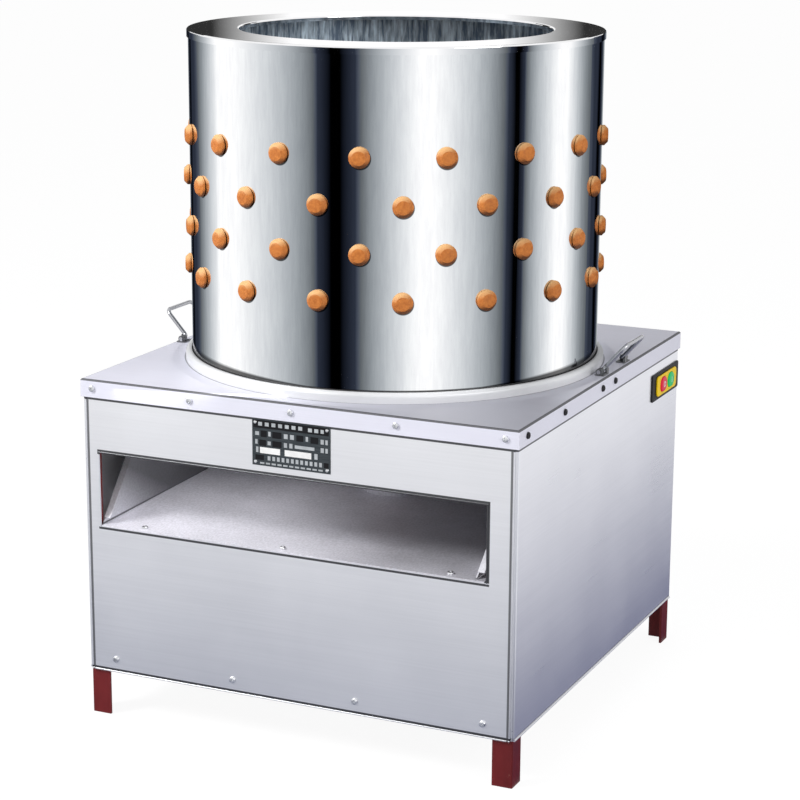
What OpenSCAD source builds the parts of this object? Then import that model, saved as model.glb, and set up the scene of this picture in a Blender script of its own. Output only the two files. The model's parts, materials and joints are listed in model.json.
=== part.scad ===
// Drum poultry plucker: a stainless drum with rubber fingers in its wall stands on a cabinet.
// A turntable with more fingers closes the drum's foot and is driven by a belt from a motor.
// Feathers fall through the gap round the turntable on to a chute and leave by the front window.
// Millimetres. X runs to the right along the front, Y to the back, Z up. The origin is on the
// floor below the drum's axis.

/* [Drum] */
// Outer diameter of the drum
drum_d = 500; // [480:10:640]
// Height of the drum's rim above the deck
drum_h = 402; // [380:1:500]
// Sheet thickness of the drum wall
drum_wall = 1.2; // [1:0.1:2]
// Width of the flat rim round the mouth
rim_w = 61; // [40:1:75]
// Height of the rim's outer skirt
rim_skirt = 9; // [6:1:14]
// Height of the ring round the drum's foot
foot_ring_h = 12; // [8:1:18]
// Rows of fingers in the drum wall
finger_rows = 4; // [2:1:5]
// Fingers in each row of the wall
fingers_per_row = 16; // [10:1:20]
// Height of the lowest row above the deck
first_row = 115; // [112:1:140]
// Height from one row to the next
row_pitch = 54.7; // [40:0.1:70]
// Turn of the lowest row from the X axis, in degrees
row_turn = 4.2; // [0:0.1:22]

/* [Fingers] */
// Diameter of a finger's head
head_d = 24.5; // [20:0.5:28]
// Thickness of a finger's head
head_t = 7.5; // [5:0.5:10]
// Diameter of the neck that sits in the sheet
neck_d = 16; // [12:0.5:18]
// Diameter of the finger at its shoulder
finger_d = 21; // [18.5:0.5:24]
// Diameter of the finger near its tip
finger_tip_d = 13; // [10:0.5:16]
// Length of the finger inside the sheet
finger_len = 79; // [50:1:88]
// Ribs along a finger
finger_ribs = 10; // [5:1:14]
// Depth of a rib
rib_depth = 1; // [0.5:0.1:1.5]

/* [Turntable] */
// Gap between the turntable and the drum wall, where feathers fall
feather_gap = 15; // [10:1:22]
// Height of the turntable's underside above the deck
disc_lift = 15; // [13:1:20]
// Thickness of the turntable's sheet
disc_t = 3; // [2:0.5:4]
// Fingers in the inner, middle and outer ring
ring_counts = [6, 12, 18]; // [3:1:24]
// Turntable's edge to the outer ring of fingers
ring_edge = 29; // [20:1:40]
// Distance from one ring of fingers to the next
ring_step = 60; // [45:1:65]

/* [Cabinet] */
// Deck showing beside the drum, left and right
side_margin = 30; // [28:0.5:50]
// Deck showing before and behind the drum
front_margin = 32.5; // [30:0.5:50]
// Height of the deck above the floor
deck_z = 421; // [415:1:510]
// Height of the panels' lower edge above the floor
cab_bottom = 58; // [50:1:66]
// Height of the deck's folded lip
lip_h = 22; // [20:1:26]
// Thickness of the cabinet's sheet
sheet = 1.2; // [1:0.1:1.5]
// Outer radius of a fold in the sheet
fold_r = 2.5; // [2:0.1:4]
// Flange width of the angle iron
angle_w = 25; // [21:1:28]
// Thickness of the angle iron
angle_t = 3; // [2:0.5:4]
// Strip of side panel showing beside the front panel
edge_strip = 4.5; // [3:0.5:8]

/* [Chute] */
// Height of the discharge window
window_h = 91.5; // [70:0.5:110]
// Deck's top to the window's upper edge
window_drop = 88.5; // [86:0.5:100]
// Sheet left of the window, from the deck's edge
window_left = 22.5; // [22:0.5:60]
// Sheet right of the window, from the deck's edge
window_right = 36.5; // [34:0.5:60]
// Fall of the chute's front part, in degrees
chute_fall = 1; // [0.5:0.1:3]
// Outward lean of the chute's right wall, in degrees
chute_lean = 6; // [0:0.5:6]

/* [Drive] */
// Diameter of the main shaft in its bearings
shaft_d = 25; // [20:1:26]
// Outer diameter of the bearings
bearing_od = 52; // [50:1:54]
// Width of a bearing
bearing_w = 15; // [12:1:16]
// Outer diameter of the bearing tube
tube_d = 70; // [64:1:72]
// Pitch diameter of the pulley on the main shaft
driven_pitch_d = 260; // [200:1:270]
// Pitch diameter of the motor's pulley
drive_pitch_d = 55; // [50:1:63]
// Width of both pulleys at the rim
pulley_w = 20; // [18:1:22]
// Diameter of the motor's frame
motor_d = 120; // [110:1:124]
// Length of the motor's finned housing
motor_len = 104; // [90:1:108]
// Diameter of the motor's shaft
motor_shaft_d = 19; // [14:1:20]

/* [Switch and label] */
// Width of the switch's back plate
switch_w = 104; // [80:1:104]
// Height of the switch's back plate
switch_h = 35; // [32:1:44]
// Travel of both buttons
button_travel = 3.5; // [2:0.5:4]
// Width of the rating plate
label_w = 100; // [80:1:120]
// Height of the rating plate
label_h = 55; // [45:1:56]

/* [Handles] */
// Diameter of the handle's rod
rod_d = 5; // [4:0.5:9]
// Distance between the handle's legs
handle_len = 64; // [54:1:130]
// Distance from the handle's pins to its grip
handle_h = 43; // [36:1:52]
// Outward lean of a handle at rest, in degrees
handle_lean = 42; // [20:1:46]
// Place of the right handle's middle, back from the drum's axis
right_handle_y = 45; // [-60:1:60]
// Place of the left handle's middle, back from the drum's axis
left_handle_y = -15; // [-60:1:60]

/* [Hidden] */
$fn = 64;
// Clearances: skin between sheets, seat between fixed pieces, fit of a press or key, running fit
skin = 0.3;
seat = 0.2;
fit = 0.05;
run = 0.3;
hair = 0.01;

// Cabinet
drum_r = drum_d / 2;
cab_w = drum_d + 2 * side_margin;
cab_d = drum_d + 2 * front_margin;
deck_under = deck_z - sheet;
panel_x = cab_w / 2 - sheet - skin;
panel_y = cab_d / 2 - sheet - skin;
panel_top = deck_under - (fold_r - sheet);
return_y = panel_y - sheet - seat;
return_w = 20;
post_x = panel_x - sheet - seat;
post_y = return_y - sheet - seat;
hem_r = 1.3;
bead_r = 1;
angle_edge = 0.6 * (fold_r - sheet) + seat;
deck_hole_r = drum_r - 6;
rail_top = cab_bottom + 2 + angle_w;
beam_top = rail_top + angle_w;

// Screws
screw_r = 2;
screw_hole_r = screw_r + 0.15;
screw_head_r = 4;
lip_screw_z = deck_z - lip_h / 2;
lip_screw_count = 5;
lip_screw_end = 16;
side_screw_steps = [24.5, 139.5, 266.5, 310.5];
foot_screw_z = cab_bottom + 15.5;
foot_screw_count = 4;
foot_screw_end = 39;

// Chute
window_top = deck_z - window_drop;
window_sill = window_top - window_h;
window_x0 = -cab_w / 2 + window_left;
window_x1 = cab_w / 2 - window_right;
sill_w = 16;
chute_t = 1.5;
chute_z = window_sill + seat + chute_t;
chute_front = -panel_y - 1.6;
chute_bend_y = tube_d / 2 + 10;
chute_bend_z = chute_z + (chute_bend_y - chute_front) * tan(chute_fall);
chute_rear = post_y - angle_w - seat;
chute_rear_z = deck_z - 29;
chute_top = deck_z - 7;
chute_x0 = window_x0 + 2.5;
chute_x1 = window_x1 - 14;
chute_wall_t = 1.2;
chute_screw_y = -panel_y + 8.5;
chute_screw_shares = [0.112, 0.481, 0.905];
wall_y = -panel_y + 1;
wall_z = chute_z + (wall_y - chute_front) * tan(chute_fall) + seat;
wall_toe = 6;
wall_back = 62;
wall_rise = 74;
wall_hem_w = 8;
wall_hem_t = 1.2;
collar_h = 22;
collar_t = 2.5;

// Drum
rim_t = 1.5;
rim_over = 1.8;
rim_hem = 6;
shell_top = deck_z + drum_h - rim_t;
foot_ring_r = drum_r + 8.5;
foot_ring_in = drum_r + seat;
drum_bolt_r = (foot_ring_r + foot_ring_in) / 2;
drum_bolt_count = 8;
drum_bolt_d = 4.8;
drum_bolt_in = 8;
neck_gap = 0.2;
head_top_d = 0.55 * head_d;
head_edge = 0.45 * head_t;

// Turntable
disc_r = drum_r - drum_wall - feather_gap;
disc_z = deck_z + disc_lift;
disc_top = disc_z + disc_t;
disc_skirt = 10;
hub_flange_r = 60;
hub_flange_t = 8;
hub_spigot_r = 20;
hub_boss_r = 30;
hub_skirt_r = tube_d / 2 + 3;
hub_skirt_t = 4;
hub_bolt_ring = (hub_skirt_r + hub_skirt_t + hub_flange_r) / 2;
hub_bolt_count = 6;
hub_bolt_d = 8;
hub_bore_d = shaft_d - 1;
hub_top = disc_top + 2;
thread_d = 18;
nut_h = 12;

// Shaft and bearings
tube_top = deck_z - 29;
tube_flange_w = 160;
tube_flange_t = 8;
seat_deep = bearing_w + 1.5;
shoulder_d = shaft_d + 5;
ball_r = 3.9;
ball_ring = (shaft_d + bearing_od) / 4;
ball_count = 9;
inner_ring_r = ball_ring - 2.6;
outer_ring_r = ball_ring + 2.6;
bearing_low = beam_top + seat_deep - bearing_w;
bearing_high = tube_top - seat_deep;
shaft_bottom = cab_bottom + 4;
seal_h = 4.5;
beam_bolt_d = 10;
bearing_bolt_place = 60;
bearing_beam_y = bearing_bolt_place + 0.9 * beam_bolt_d - angle_w + angle_t;

// Belt drive
belt_z = rail_top - 13;
motor_y = cab_d / 2 - 93;
belt_top_w = 12.6;
belt_h = 8;
belt_over = 2.75;
groove_half = 18;
groove_deep = 10.5;
driven_r = driven_pitch_d / 2;
drive_r = drive_pitch_d / 2;
belt_lean = asin((driven_r - drive_r) / motor_y);

// Motor
motor_r = motor_d / 2;
motor_plate_t = 6;
motor_plate_w = 200;
motor_beam_in = 46.5;
motor_face = beam_top + motor_plate_t;
shield_h = 30;
housing_z = motor_face + shield_h;
housing_top = housing_z + motor_len;
fan_cover_h = 46;
fin_h = 4;
fin_count = 28;
motor_bolt_place = 35;
motor_bolt_d = 6;
rotor_r = 38;
box_w = 62;
box_d = 36;
box_h = 74;
box_z = housing_z + 14;
cap_r = 19;
cap_len = 80;
fan_shaft_r = motor_shaft_d / 2 - 2;
fan_z = housing_top + 8;
fan_h = 24;

// Switch, label and gland
switch_box_w = 56;
switch_box_h = 26;
switch_box_d = 30;
switch_y = post_y - angle_w - switch_box_w / 2 - 0.7;
switch_z = deck_z - 54.5;
switch_plate_t = 1.8;
bezel_w = 76;
bezel_h = 26;
bezel_t = 2.2;
button_w = 24;
button_h = 19;
button_round = 9;
button_gap = 14.5;
button_proud = 1.2;
button_in = 3;
chute_edge_x = panel_x - switch_box_d - 2.4;
label_z = deck_z - lip_h - 1 - label_h / 2;
label_t = 0.8;
rivet_r = 2.1;
gland_x = cab_w / 2 - 80;
gland_z = rail_top + 65;
gland_bore_r = 5;
gland_thread_r = 8;

// Handles
rod_r = rod_d / 2;
handle_x = cab_w / 2 - 10.5;
pin_h = rod_r + 2.2;
pin_len = 10;
foot_bend = 6;
grip_bend = 8;
clip_w = 8;
clip_r = rod_r + 1.6;
clip_base_t = 1.5;
clip_start = handle_len / 2 + foot_bend + 1;

// Route of the lead from the switch to the motor, and its radius
lead_r = 3.5;
lead_path = [
    [panel_x - 17, switch_y, switch_z - switch_box_h / 2],
    [panel_x - 17, switch_y, switch_z - switch_box_h / 2 - 50],
    [panel_x - 30, switch_y - 10, switch_z - switch_box_h / 2 - 100],
    [panel_x - 80, motor_y, box_z + 52],
    [160, motor_y, box_z + 40],
    [motor_r + fin_h + seat + box_d, motor_y, box_z + 40],
];
lead_sides = 10;
lead_steps = 4;

// Points of an arc about a centre
function arc(cx, cy, r, a0, a1, n = 6) =
    [for (i = [0 : n]) let (a = a0 + (a1 - a0) * i / n) [cx + r * cos(a), cy + r * sin(a)]];

// Even places from -reach to reach
function spread(count, reach) = [for (i = [0 : count - 1]) -reach + 2 * reach * i / (count - 1)];

// Rounded rectangle about the origin
module round_rect(w, h, r) {
    polygon(concat(
        arc(w / 2 - r, h / 2 - r, r, 0, 90),
        arc(-w / 2 + r, h / 2 - r, r, 90, 180),
        arc(-w / 2 + r, -h / 2 + r, r, 180, 270),
        arc(w / 2 - r, -h / 2 + r, r, 270, 360)
    ));
}

// Outline of a box with its two upper corners rounded
module round_top(w, h, r) {
    polygon(concat(
        [[-w / 2, 0], [w / 2, 0]],
        arc(w / 2 - r, h - r, r, 0, 90),
        arc(-w / 2 + r, h - r, r, 90, 180)
    ));
}

// Box whose four upper edges are folded round
module soft_box(w, d, h, r) {
    intersection() {
        rotate([90, 0, 0]) linear_extrude(d, center = true) round_top(w, h, r);
        rotate([90, 0, 90]) linear_extrude(w, center = true) round_top(d, h, r);
    }
}

// Angle iron along Z with its outer corner, which is eased a little, on the origin
module angle_bar(len) {
    linear_extrude(len) polygon([
        [angle_edge, 0], [angle_w, 0], [angle_w, angle_t],
        [angle_t, angle_t], [angle_t, angle_w], [0, angle_w], [0, angle_edge],
    ]);
}

// Angle iron along X, its corner at the top and its flanges to +Y and -Z
module rail_x(len) {
    translate([-len / 2, 0, 0]) rotate([90, 0, 90]) mirror([0, 1, 0]) angle_bar(len);
}

// Angle iron along Y, its corner at the top and its flanges to +X and -Z
module rail_y(len) {
    translate([0, len / 2, 0]) rotate([90, 0, 0]) mirror([0, 1, 0]) angle_bar(len);
}

// Four rails between the posts with their tops at one height
module rail_frame(top) {
    for (s = [0, 1]) {
        mirror([0, s, 0]) translate([0, -post_y, top]) rail_x(2 * (post_x - angle_w));
        mirror([s, 0, 0]) translate([-post_x, 0, top]) rail_y(2 * (post_y - angle_w));
    }
}

// Pan-head screw with the underside of its head on the origin and its shank down -Z
module pan_screw(len) {
    rotate_extrude() polygon([
        [0, -len], [screw_r, -len], [screw_r, 0], [screw_head_r, 0], [screw_head_r, 0.8],
        [0.75 * screw_head_r, 2], [0.4 * screw_head_r, 2.5], [0, 2.6],
    ]);
}

module screw_hole() {
    cylinder(h = 40, r = screw_hole_r, center = true);
}

// Places of the screws in the front and rear lips, with +Z outward
module at_lip_screws() {
    for (s = [0, 1], x = spread(lip_screw_count, cab_w / 2 - lip_screw_end))
        mirror([0, s, 0]) translate([x, -cab_d / 2, lip_screw_z]) rotate([90, 0, 0]) children();
}

// Places of the screws in the side lips, with +Z outward
module at_side_screws() {
    for (s = [0, 1], y = side_screw_steps)
        mirror([s, 0, 0]) translate([cab_w / 2, y - cab_d / 2, lip_screw_z]) rotate([0, 90, 0]) children();
}

// Places of the screws along the lower edges of the front and rear panels, with +Z outward
module at_foot_screws() {
    for (s = [0, 1], x = spread(foot_screw_count, cab_w / 2 - foot_screw_end))
        mirror([0, s, 0]) translate([x, -panel_y, foot_screw_z]) rotate([90, 0, 0]) children();
}

// Places of the screws through the chute's front edge, with +Z up
module at_chute_screws() {
    rise = (chute_screw_y - chute_front) * tan(chute_fall) + 0.1;
    for (share = chute_screw_shares)
        translate([window_x0 + share * (window_x1 - window_x0), chute_screw_y, chute_z + rise]) children();
}

// Hexagon bolt with the underside of its head on the origin and its shank up +Z
module hex_bolt(d, len) {
    cylinder(h = len, r = d / 2);
    translate([0, 0, -0.65 * d]) cylinder(h = 0.65 * d, r = 0.95 * d, $fn = 6);
}

module hex_nut(d) {
    difference() {
        cylinder(h = 0.8 * d, r = 0.95 * d, $fn = 6);
        translate([0, 0, -1]) cylinder(h = d + 2, r = d / 2 + fit);
    }
}

// Rubber finger along +Z: its head below the origin, its neck through a sheet, its ribs above
module finger(neck_len) {
    rib_z = neck_len + 6;
    tip_z = neck_len + finger_len;
    dome = finger_tip_d / 2 - rib_depth;
    rib_step = (tip_z - dome - rib_z) / finger_ribs;
    rotate_extrude() polygon(concat(
        [
            [0, -head_t], [head_top_d / 2, -head_t], [head_d / 2, -head_edge], [head_d / 2, 0],
            [neck_d / 2, 0], [neck_d / 2, neck_len], [finger_d / 2 + 0.5, neck_len],
        ],
        [for (i = [0 : finger_ribs - 1])
            let (z = rib_z + i * rib_step)
            let (r = finger_d / 2 + (finger_tip_d - finger_d) / 2 * (i + 0.5) / finger_ribs)
            each [[r - rib_depth, z], [r, z + 0.5 * rib_step]]],
        arc(0, tip_z - dome, dome, 0, 90)
    ));
}

// Places of the wall's fingers, with +X outward along each finger
module at_wall_fingers() {
    for (row = [0 : finger_rows - 1], i = [0 : fingers_per_row - 1])
        rotate([0, 0, row_turn + (i + row % 2 / 2) * 360 / fingers_per_row])
            translate([0, 0, deck_z + first_row + row * row_pitch])
                children();
}

module at_disc_fingers() {
    for (ring = [0 : len(ring_counts) - 1], i = [0 : ring_counts[ring] - 1])
        rotate([0, 0, (i + ring % 2 / 2) * 360 / ring_counts[ring]])
            translate([disc_r - ring_edge - (len(ring_counts) - 1 - ring) * ring_step, 0, disc_z])
                children();
}

module at_hub_bolts() {
    for (i = [0 : hub_bolt_count - 1])
        rotate([0, 0, (i + 0.5) * 360 / hub_bolt_count]) translate([hub_bolt_ring, 0, 0]) children();
}

module at_drum_bolts() {
    for (i = [0 : drum_bolt_count - 1])
        rotate([0, 0, (i + 0.5) * 360 / drum_bolt_count]) translate([drum_bolt_r, 0, 0]) children();
}

// Four corners of a square
module at_corners(place) {
    for (x = [-place, place], y = [-place, place]) translate([x, y, 0]) children();
}

// Post in one corner of the cabinet, standing on the floor
module leg(flip_x, flip_y) {
    color("#6b2426") difference() {
        mirror([flip_x, 0, 0]) mirror([0, flip_y, 0])
            translate([-post_x, -post_y, 0]) angle_bar(deck_under);
        window_room();
        at_lip_screws() screw_hole();
        at_side_screws() screw_hole();
    }
}

// Room beside the window, where a leg's front flange is trimmed
module window_room() {
    low = window_sill - sheet - seat;
    translate([window_x0 - skin, -post_y - 1, low])
        cube([window_x1 - window_x0 + 2 * skin, angle_t + 2, window_top + seat - low]);
}

module front_left_leg() { leg(0, 0); }
module front_right_leg() { leg(1, 0); }
module rear_left_leg() { leg(0, 1); }
module rear_right_leg() { leg(1, 1); }

module top_rails() {
    color("#6b2426") difference() {
        rail_frame(deck_under);
        at_lip_screws() screw_hole();
        at_side_screws() screw_hole();
    }
}

module bottom_rails() {
    color("#6b2426") difference() {
        rail_frame(rail_top);
        at_foot_screws() screw_hole();
    }
}

// Two beams across the cabinet under the bearing tube and two under the motor's plate
module cross_beams() {
    len = 2 * (post_x - angle_t);
    color("#6b2426") difference() {
        for (s = [0, 1]) {
            mirror([0, s, 0]) translate([0, -bearing_beam_y - angle_w, beam_top]) rail_x(len);
            at_motor() mirror([0, s, 0]) translate([0, motor_beam_in, beam_top]) rail_x(len);
        }
        at_corners(bearing_bolt_place) cylinder(h = 3 * beam_top, r = beam_bolt_d / 2 + fit, center = true);
        at_plate_bolts() cylinder(h = 3 * beam_top, r = motor_bolt_d / 2 + fit, center = true);
    }
}

// Flat front or rear sheet between the side panels, with a rolled lower hem
module face_sheet() {
    w = 2 * (panel_x - edge_strip);
    translate([-w / 2, -panel_y, cab_bottom]) cube([w, sheet, panel_top - cab_bottom]);
    translate([-w / 2, -panel_y, cab_bottom]) rotate([0, 90, 0]) cylinder(h = w, r = hem_r);
}

module front_panel() {
    color("#c9cad4") difference() {
        union() {
            difference() {
                face_sheet();
                translate([window_x0, -panel_y - 5, window_sill])
                    cube([window_x1 - window_x0, 20, window_h]);
            }
            translate([window_x0, -panel_y, window_sill - sheet])
                cube([window_x1 - window_x0, sill_w, sheet]);
            window_bead();
            side_beads();
        }
        at_lip_screws() screw_hole();
        at_foot_screws() screw_hole();
        at_chute_screws() screw_hole();
        at_rivets() cylinder(h = 10, r = rivet_r / 2 + fit, center = true);
    }
}

// Rolled edge round the window's sides and top
module window_bead() {
    over = 1.5 * bead_r;
    for (x = [window_x0, window_x1]) translate([x, -panel_y, window_sill - sheet])
        cylinder(h = window_h + sheet, r = bead_r);
    translate([window_x0 - over, -panel_y, window_top]) rotate([0, 90, 0])
        cylinder(h = window_x1 - window_x0 + 2 * over, r = 1.2 * bead_r);
}

// Rolled side edges of the front panel below the deck's lip
module side_beads() {
    for (x = [-1, 1]) translate([x * (panel_x - edge_strip), -panel_y, cab_bottom])
        cylinder(h = deck_z - lip_h - skin - cab_bottom, r = bead_r);
}

module rear_panel() {
    color("#c9cad4") difference() {
        mirror([0, 1, 0]) face_sheet();
        at_lip_screws() screw_hole();
        at_foot_screws() screw_hole();
        translate([gland_x, panel_y, gland_z]) rotate([90, 0, 0])
            cylinder(h = 20, r = gland_thread_r + fit, center = true);
    }
}

// Side sheet with folded returns behind the front and rear panels, on the right
module side_sheet() {
    turn = panel_x - fold_r;
    turn_y = return_y - fold_r;
    translate([0, 0, cab_bottom]) linear_extrude(panel_top - cab_bottom) polygon(concat(
        [[panel_x - return_w, -return_y]],
        arc(turn, -turn_y, fold_r, -90, 0),
        arc(turn, turn_y, fold_r, 0, 90),
        [[panel_x - return_w, return_y], [panel_x - return_w, return_y - sheet]],
        arc(turn, turn_y, fold_r - sheet, 90, 0),
        arc(turn, -turn_y, fold_r - sheet, 0, -90),
        [[panel_x - return_w, -return_y + sheet]]
    ));
    translate([panel_x, turn_y, cab_bottom]) rotate([90, 0, 0]) cylinder(h = 2 * turn_y, r = hem_r);
}

module left_panel() {
    color("#c9cad4") difference() {
        mirror([1, 0, 0]) side_sheet();
        at_lip_screws() screw_hole();
        at_side_screws() screw_hole();
    }
}

module right_panel() {
    color("#c9cad4") difference() {
        side_sheet();
        at_lip_screws() screw_hole();
        at_side_screws() screw_hole();
        translate([panel_x, switch_y, switch_z])
            cube([20, switch_box_w + 1, switch_box_h + 1], center = true);
    }
}

module deck() {
    color("#b4b4c6") difference() {
        translate([0, 0, deck_z - lip_h]) soft_box(cab_w, cab_d, lip_h, fold_r);
        translate([0, 0, deck_z - lip_h - 1])
            soft_box(cab_w - 2 * sheet, cab_d - 2 * sheet, lip_h + 1 - sheet, fold_r - sheet);
        translate([0, 0, deck_z - 10]) cylinder(h = 20, r = deck_hole_r, $fn = 180);
        at_drum_bolts() translate([0, 0, deck_z - 10]) cylinder(h = 20, r = drum_bolt_d / 2 + seat);
        at_lip_screws() screw_hole();
        at_side_screws() screw_hole();
    }
}

module deck_screws() { color("#d8d8dc") at_lip_screws() pan_screw(9); }
module side_screws() { color("#1c1c1e") at_side_screws() pan_screw(8); }
module panel_screws() { color("#d8d8dc") at_foot_screws() pan_screw(8); }
module chute_screws() { color("#d8d8dc") at_chute_screws() pan_screw(7); }

// Side outline of the chute's floor: a near-level front, a steep back and an upstand
module floor_outline() {
    lean = atan2(chute_rear_z - chute_bend_z, chute_rear - chute_t - chute_bend_y);
    bend_in = chute_t * tan((lean - chute_fall) / 2);
    polygon([
        [chute_front, chute_z - chute_t], [chute_front, chute_z],
        [chute_bend_y, chute_bend_z], [chute_rear - chute_t, chute_rear_z],
        [chute_rear - chute_t, chute_top], [chute_rear, chute_top],
        [chute_rear, chute_rear_z - chute_t], [chute_bend_y + bend_in, chute_bend_z - chute_t],
    ]);
}

module chute_floor() {
    color("#9c9ca8") difference() {
        union() {
            translate([chute_x0, 0, 0]) rotate([90, 0, 90])
                linear_extrude(chute_edge_x - chute_x0) floor_outline();
            translate([0, 0, chute_bend_z - 4]) cylinder(h = collar_h, r = tube_d / 2 + seat + collar_t);
        }
        translate([0, 0, chute_z - 20]) cylinder(h = 80, r = tube_d / 2 + seat);
        translate([window_x1 - bead_r - 1.5, chute_front - 1, chute_z - 20])
            cube([50, chute_screw_y + sill_w - chute_front, 40]);
        at_chute_screws() screw_hole();
    }
}

// Chute wall in the YZ plane: it stands on the floor and its front edge leans back
module wall_outline() {
    polygon([
        [wall_y, wall_z], [wall_y + wall_toe, wall_z + wall_toe],
        [wall_y + wall_back, wall_z + wall_rise], [wall_y + wall_back, chute_top],
        [chute_rear - chute_t - seat, chute_top], [chute_rear - chute_t - seat, chute_rear_z + seat],
        [chute_bend_y, chute_bend_z + seat],
    ]);
}

// Stiffening flange along a wall's leaning front edge
module wall_hem() {
    translate([wall_y, wall_z]) polygon([
        [wall_toe, wall_toe], [wall_back, wall_rise], [wall_back, wall_rise + wall_hem_t],
        [wall_back - wall_hem_t, wall_rise + wall_hem_t], [wall_toe - wall_hem_t, wall_toe + wall_hem_t],
    ]);
}

module chute_left_wall() {
    color("#9c9ca8") translate([chute_x0 - chute_wall_t + hair, 0, 0]) rotate([90, 0, 90]) {
        linear_extrude(chute_wall_t) wall_outline();
        translate([0, 0, -hair]) linear_extrude(wall_hem_w) wall_hem();
    }
}

module chute_right_wall() {
    // The lean lowers the wall's rear foot, so the wall is lifted by as much
    lift = (chute_rear_z - chute_z) * (1 - cos(chute_lean)) + seat;
    color("#9c9ca8") translate([chute_x1, 0, chute_z + lift]) rotate([0, chute_lean, 0])
        translate([0, 0, -chute_z]) rotate([90, 0, 90]) {
            linear_extrude(chute_wall_t) wall_outline();
            linear_extrude(wall_hem_w) wall_hem();
        }
}

module drum_shell() {
    color("#b8bcc2") difference() {
        translate([0, 0, deck_z]) cylinder(h = shell_top - deck_z, r = drum_r, $fn = 180);
        translate([0, 0, deck_z - 1]) cylinder(h = drum_h + 2, r = drum_r - drum_wall, $fn = 180);
        at_wall_fingers() translate([drum_r - 20, 0, 0]) rotate([0, 90, 0])
            cylinder(h = 40, r = neck_d / 2 + neck_gap);
    }
}

module drum_rim() {
    rim_r = drum_r + rim_over;
    rim_top = shell_top + rim_t;
    mouth_r = drum_r - rim_w;
    color("#e2e3e6") rotate_extrude($fn = 180) polygon(concat(
        [[mouth_r, rim_top - rim_hem], [mouth_r + rim_t, rim_top - rim_hem], [mouth_r + rim_t, shell_top]],
        [[drum_r + seat, shell_top], [drum_r + seat, rim_top - rim_skirt], [rim_r, rim_top - rim_skirt]],
        arc(rim_r - 2, rim_top - 2, 2, 0, 90, 4),
        arc(mouth_r + 2, rim_top - 2, 2, 90, 180, 4)
    ));
}

module drum_foot_ring() {
    top = deck_z + foot_ring_h;
    round_r = 5;
    color("#d2d3da") difference() {
        rotate_extrude($fn = 180) polygon(concat(
            [[foot_ring_in, deck_z], [foot_ring_r, deck_z]],
            arc(foot_ring_r - round_r, top - round_r, round_r, 0, 90),
            [[foot_ring_in + 1.2, top], [foot_ring_in, top - 2]]
        ));
        at_drum_bolts() translate([0, 0, deck_z - 1])
            cylinder(h = drum_bolt_in + 1.5, r = drum_bolt_d / 2 + fit);
    }
}

module drum_bolts() {
    color("#8e9096") at_drum_bolts() translate([0, 0, deck_under])
        hex_bolt(drum_bolt_d, sheet + drum_bolt_in);
}

// Neck long enough for the curve of the wall
wall_neck = drum_wall + 0.5;

module wall_fingers() {
    color("#c87d3c") at_wall_fingers() translate([drum_r + 0.1, 0, 0]) rotate([0, -90, 0])
        finger(wall_neck);
}

// Tube with a flange, bored at both ends for the bearings
module bearing_tube() {
    color("#6b2426") difference() {
        union() {
            translate([-tube_flange_w / 2, -tube_flange_w / 2, beam_top])
                cube([tube_flange_w, tube_flange_w, tube_flange_t]);
            translate([0, 0, beam_top]) cylinder(h = tube_top - beam_top, r = tube_d / 2);
        }
        translate([0, 0, beam_top - 1]) cylinder(h = tube_top, r = outer_ring_r);
        translate([0, 0, beam_top - 1]) cylinder(h = seat_deep + 1, r = bearing_od / 2);
        translate([0, 0, bearing_high]) cylinder(h = seat_deep + 1, r = bearing_od / 2);
        at_corners(bearing_bolt_place) translate([0, 0, beam_top - 1])
            cylinder(h = 20, r = beam_bolt_d / 2 + fit);
    }
}

module at_bearings() {
    for (z = [bearing_low, bearing_high]) translate([0, 0, z]) children();
}

// Bearing ring between two radii, with a race for the balls
module race(inside, outside) {
    rotate_extrude() difference() {
        translate([inside, 0]) square([outside - inside, bearing_w]);
        translate([ball_ring, bearing_w / 2]) circle(r = ball_r + run);
    }
}

module bearing_outer_rings() {
    color("#a9abb0") at_bearings() race(outer_ring_r, bearing_od / 2 - fit);
}

module bearing_inner_rings() {
    color("#a9abb0") at_bearings() race(shaft_d / 2 + fit, inner_ring_r);
}

module bearing_balls() {
    color("#d0d2d6") at_bearings() for (i = [0 : ball_count - 1])
        rotate([0, 0, i * 360 / ball_count]) translate([ball_ring, 0, bearing_w / 2]) sphere(r = ball_r);
}

// Bolts with nuts that hold the bearing tube and the motor's plate to the beams
module beam_bolts() {
    color("#8e9096") {
        at_corners(bearing_bolt_place) beam_bolt(beam_bolt_d, tube_flange_t);
        at_plate_bolts() beam_bolt(motor_bolt_d, motor_plate_t);
    }
}

module beam_bolt(d, grip) {
    translate([0, 0, beam_top + grip]) mirror([0, 0, 1]) hex_bolt(d, grip + angle_t + 1.2 * d);
    translate([0, 0, beam_top - angle_t - 0.8 * d]) hex_nut(d);
}

module main_shaft() {
    color("#9a9ca2") {
        translate([0, 0, shaft_bottom])
            cylinder(h = bearing_high + bearing_w - shaft_bottom, r = shaft_d / 2);
        translate([0, 0, bearing_low + bearing_w])
            cylinder(h = bearing_high - bearing_low - bearing_w, r = shoulder_d / 2);
        translate([0, 0, bearing_high + bearing_w - 1])
            cylinder(h = hub_top - bearing_high - bearing_w + 0.5, r = hub_bore_d / 2);
        translate([0, 0, hub_top - 1]) cylinder(h = nut_h, r = thread_d / 2);
    }
}

// Rubber lip seal that turns with the shaft just above the tube
module shaft_seal() {
    low = tube_top + run;
    color("#26262a") rotate_extrude() polygon([
        [hub_bore_d / 2 + fit, low + 1], [outer_ring_r + 1, low], [outer_ring_r + 2, low + 1],
        [hub_bore_d / 2 + 5, low + seal_h], [hub_bore_d / 2 + fit, low + seal_h],
    ]);
}

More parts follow.
